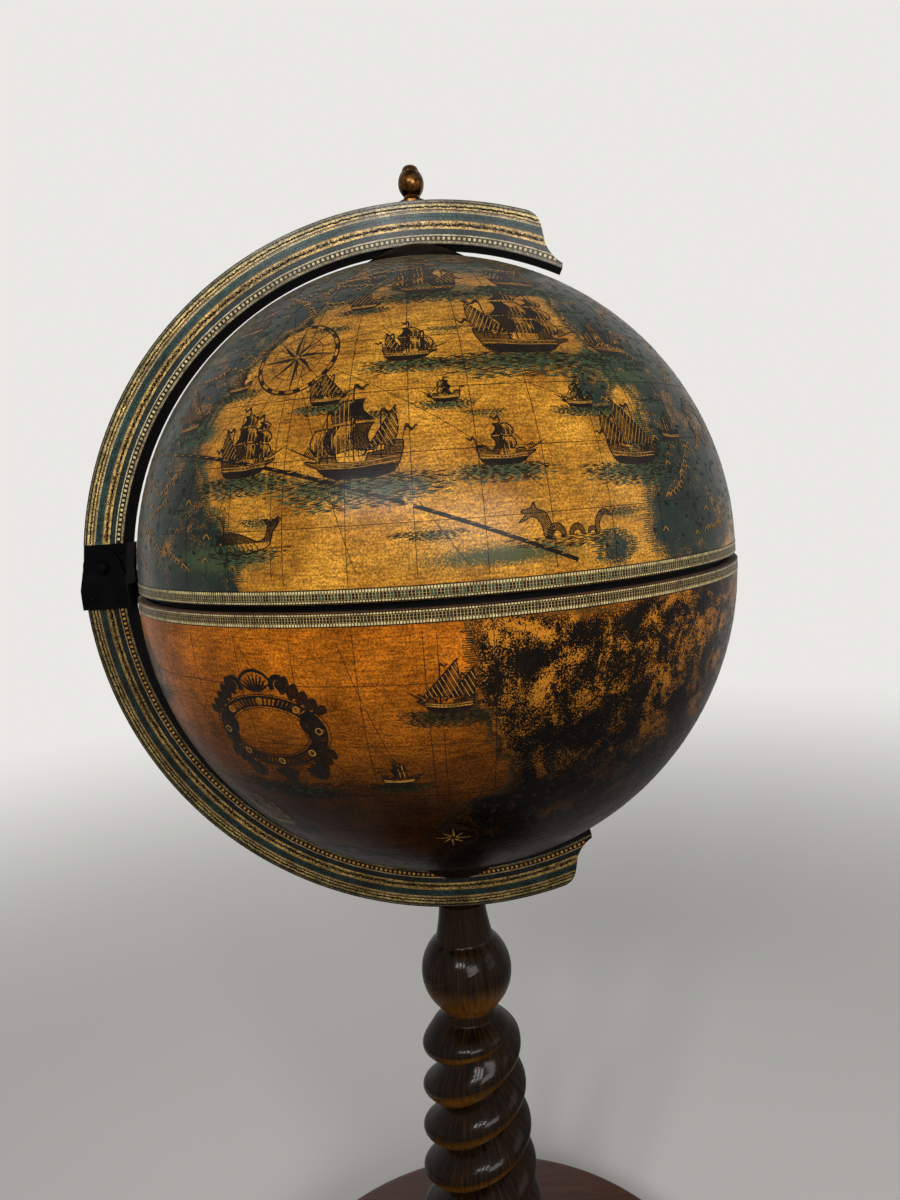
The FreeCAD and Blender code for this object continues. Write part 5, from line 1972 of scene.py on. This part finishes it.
    def dome_chart(self, motifs: ChartMotifs) -> None:
        """Print the dome: two coasts with open sea, ships and a wind rose between them.

        Args:
            motifs: the engraver's stock of ornaments.
        """
        tints = [vessel.wake() for vessel in self.dome_fleet]
        for lon, lat, width in self.dome_shoals:
            tints.append(Tint(lon, lat - 1.0, 0.85 * width, 0.22 * width, 0.5))
        radius = self.dome_radius + self.paper_lift
        sheet = MapSheet(
            "dome", "upper_globe", self.dome_centre, radius, self.dome_edge, self.pole_lat, 3.1,
            self.dome_patches, (*self.dome_tints, *tints),
        )
        sheet.paper(self.dome_paper.material(), "map_paper")
        clear = ((-22.0, 38.0, 9.0), (20.0, 33.0, 10.0), (62.0, 23.0, 8.0))
        printer = MapPrinter(sheet, motifs, self.dome_edge, 1, clear)
        printer.press_all((5200, 4.0, 78.0), (Ink.OCHRE, Ink.GREEN))
        printer.great_circle(-60.0, 23.5)
        motifs.wind_rose(Pen(sheet, -22, 38, 24.0, 3), rays=44)
        for vessel in self.dome_fleet:
            vessel.draw(motifs, sheet)
        for lon, lat, width in self.dome_shoals:
            motifs.sea(Pen(sheet, lon, lat, width), 1.0, 0.24)
        motifs.cartouche(Pen(sheet, 62, 23, 17.0, -8))
        motifs.whale(Pen(sheet, -27, 7.5, 38.0, 3))
        motifs.sea_serpent(Pen(sheet, 22, 6.5, 40.0, 0))
        motifs.wind_rose(Pen(sheet, 135, 52, 17.0))
        press(sheet.prints, "dome", self.inks, "upper_globe")

    def bowl_chart(self, motifs: ChartMotifs) -> None:
        """Print the bowl: a dark continent on the right, a blank tablet on the left.

        Args:
            motifs: the engraver's stock of ornaments.
        """
        tints = [vessel.wake() for vessel in self.bowl_fleet]
        radius = self.bowl_radius - self.bowl_paper_drop
        sheet = MapSheet(
            "bowl", "lower_globe", self.bowl_centre, radius, -self.pole_lat, self.bowl_edge, 8.4,
            self.bowl_patches, (*self.bowl_tints, *tints),
        )
        sheet.paper(self.bowl_paper.material(), "map_paper")
        printer = MapPrinter(sheet, motifs, self.bowl_edge, -1, ((-27.0, -18.0, 15.0),))
        printer.press_all((3600, -78.0, -5.0), (Ink.DARK, Ink.DARK))
        motifs.cartouche(Pen(sheet, -27, -18, 40.0, 3))
        motifs.wind_rose(Pen(sheet, 2, -42, 14.0), rays=52)
        motifs.sea(Pen(sheet, -27, -27, 40.0, 3), 0.95, 0.28)
        for vessel in self.bowl_fleet:
            vessel.draw(motifs, sheet)
        motifs.sea_serpent(Pen(sheet, -10, -54, 42.0, 4))
        motifs.dividers(Pen(sheet, -52, -52, 17.0, 10))
        motifs.whale(Pen(sheet, -66, -34, 28.0, 8))
        # The bowl's green ink is the darker copy: painted shade.
        inks = {**self.inks, Ink.GREEN: self.shaded_green}
        press(sheet.prints, "bowl", inks, "lower_globe")

    def build(self) -> None:
        """Build both halves and dress their shells."""
        self.finishes()
        motifs = ChartMotifs()
        self.lined_bowl()
        dress(["dome_shell"], self.lining.material())
        self.dome_chart(motifs)
        self.bowl_chart(motifs)


@dataclass
class MeridianArcs(Dressed):
    """The two arcs with their strips, hinge, bosses and finial, in millimetres and degrees."""

    outer: float = 247.5
    upper_centre: float = 664.0
    lower_centre: float = 670.0
    upper_span: Spot = (64.0, 184.0)
    lower_span: Spot = (176.0, 296.0)
    wears: Wears = (
        (
            Painted("black_enamelled_steel", "#020203", "#060607", 0.5, 0.9, 0.25, specular=0.02),
            ("hinge_channel", "hinge_channel_screws", "hinge_shoe", "hinge_shoe_screws", "hinge_bolt",
             "hinge_cap_nut"),
        ),
        (Painted("moulded_black_rubber", "#0b0b0b", "#141414", 0.75, 0.8, 0.2), ("hinge_buffer",)),
        (PlatedMetal("antique_lacquered_brass", "#5e3f1c", "#190a06", 0.22), ("finial",)),
        (
            StainedTurnedWood("dark_lacquered_turned_boss", "#0c0705", "#24140a", 0.3, 0.5, 0.0),
            ("upper_boss", "lower_boss"),
        ),
    )

    def strips(self, inks: dict[Ink, bpy.types.Material]) -> None:
        """Paper both arcs and press their strips; the upper one is brightened with painted glare, and the
        lower one darkened with painted shade.

        Args:
            inks: the inks by plate.
        """
        # Painted shade: the lower arc's pale marks are printed in ochre.
        shaded_inks = {**inks, Ink.PALE: inks[Ink.OCHRE]}
        for node, body, centre, span, stain_and_painted_light, gloss, plates in (
            ("upper_arc", "lid_arm", self.upper_centre, self.upper_span, 1.12, 0.14, inks),
            ("lower_arc", "stand", self.lower_centre, self.lower_span, 0.42, 0.03, shaded_inks),
        ):
            paper = StripedArcPaper(f"striped_{node}_paper", centre * MM, self.outer * MM, stain_and_painted_light, gloss)
            dress([node], paper.material())
            ArcStrip(node, body, centre, self.outer, *span).build(plates)


@dataclass
class TwistedStand(Dressed):
    """The column, its collar, the base, and what runs through them."""

    wears: Wears = (
        (StainedTurnedWood("lacquered_twisted_column", "#0c0603", "#5e3a13", coat=0.1), ("column",)),
        (StainedTurnedWood("lacquered_turned_collar", "#130b06", "#4a2c12"), ("foot_collar",)),
        (StainedFlatWood("satin_mahogany_board", "#2c1309", "#451f0e"), ("base_disc",)),
        (
            PlatedMetal("zinc_plated_steel", "#b9bcc0", "#8d9094", 0.32),
            ("tie_rod", "tie_rod_nuts", "tie_rod_washers", "pivot_rod", "pivot_nut", "pivot_washer"),
        ),
        (Painted("moulded_natural_nylon", "#d3cfc0", "#c4bea9", 0.45, 1.0, 0.1), ("thrust_washer",)),
    )


@dataclass
class Bar(Dressed):
    """The tray, its ledge and floor, the hubs and the dust lip inside the globe."""

    wears: Wears = (
        (
            StainedFlatWood("stained_plywood_tray", "#3a1d0d", "#6b3a1b", 6.5, 0.34),
            ("tray_deck", "bowl_floor"),
        ),
        (
            StainedFlatWood("plain_stained_softwood", "#4a2a14", "#7d4e28", 4.0, 0.5),
            ("tray_ledge", "bowl_hub", "dome_hub"),
        ),
        (Painted("matt_black_lip", "#060505", "#0d0b0a", 0.6, 1.2, 0.15, specular=0.05), ("dust_lip",)),
    )


@dataclass
class Castors(Dressed):
    """Four swivelling castors."""

    wears: Wears = (
        (
            PlatedMetal("bright_zinc_castor_steel", "#b4b6b8", "#85888c", 0.35, 6.0),
            ("castor_plates", "castor_plate_screws")
            + tuple(f"castor_{part}_{index}" for index in range(1, 5) for part in ("fork", "axle")),
        ),
        (
            Painted("moulded_dark_nylon", "#101011", "#1c1c1d", 0.42, 1.6, 0.15),
            tuple(f"castor_wheel_{index}" for index in range(1, 5)),
        ),
    )


def main() -> None:
    """Build every sub-assembly in order."""
    bpy.context.scene.view_settings.view_transform = "Standard"
    globe, arcs = Globe(), MeridianArcs()
    Studio().build()
    globe.build()
    arcs.build()
    arcs.strips(globe.inks)
    for assembly in (TwistedStand(), Bar(), Castors()):
        assembly.build()
    log.info("floor globe bar ready")


if __name__ == "__main__":
    logging.basicConfig(level=logging.INFO)
    main()
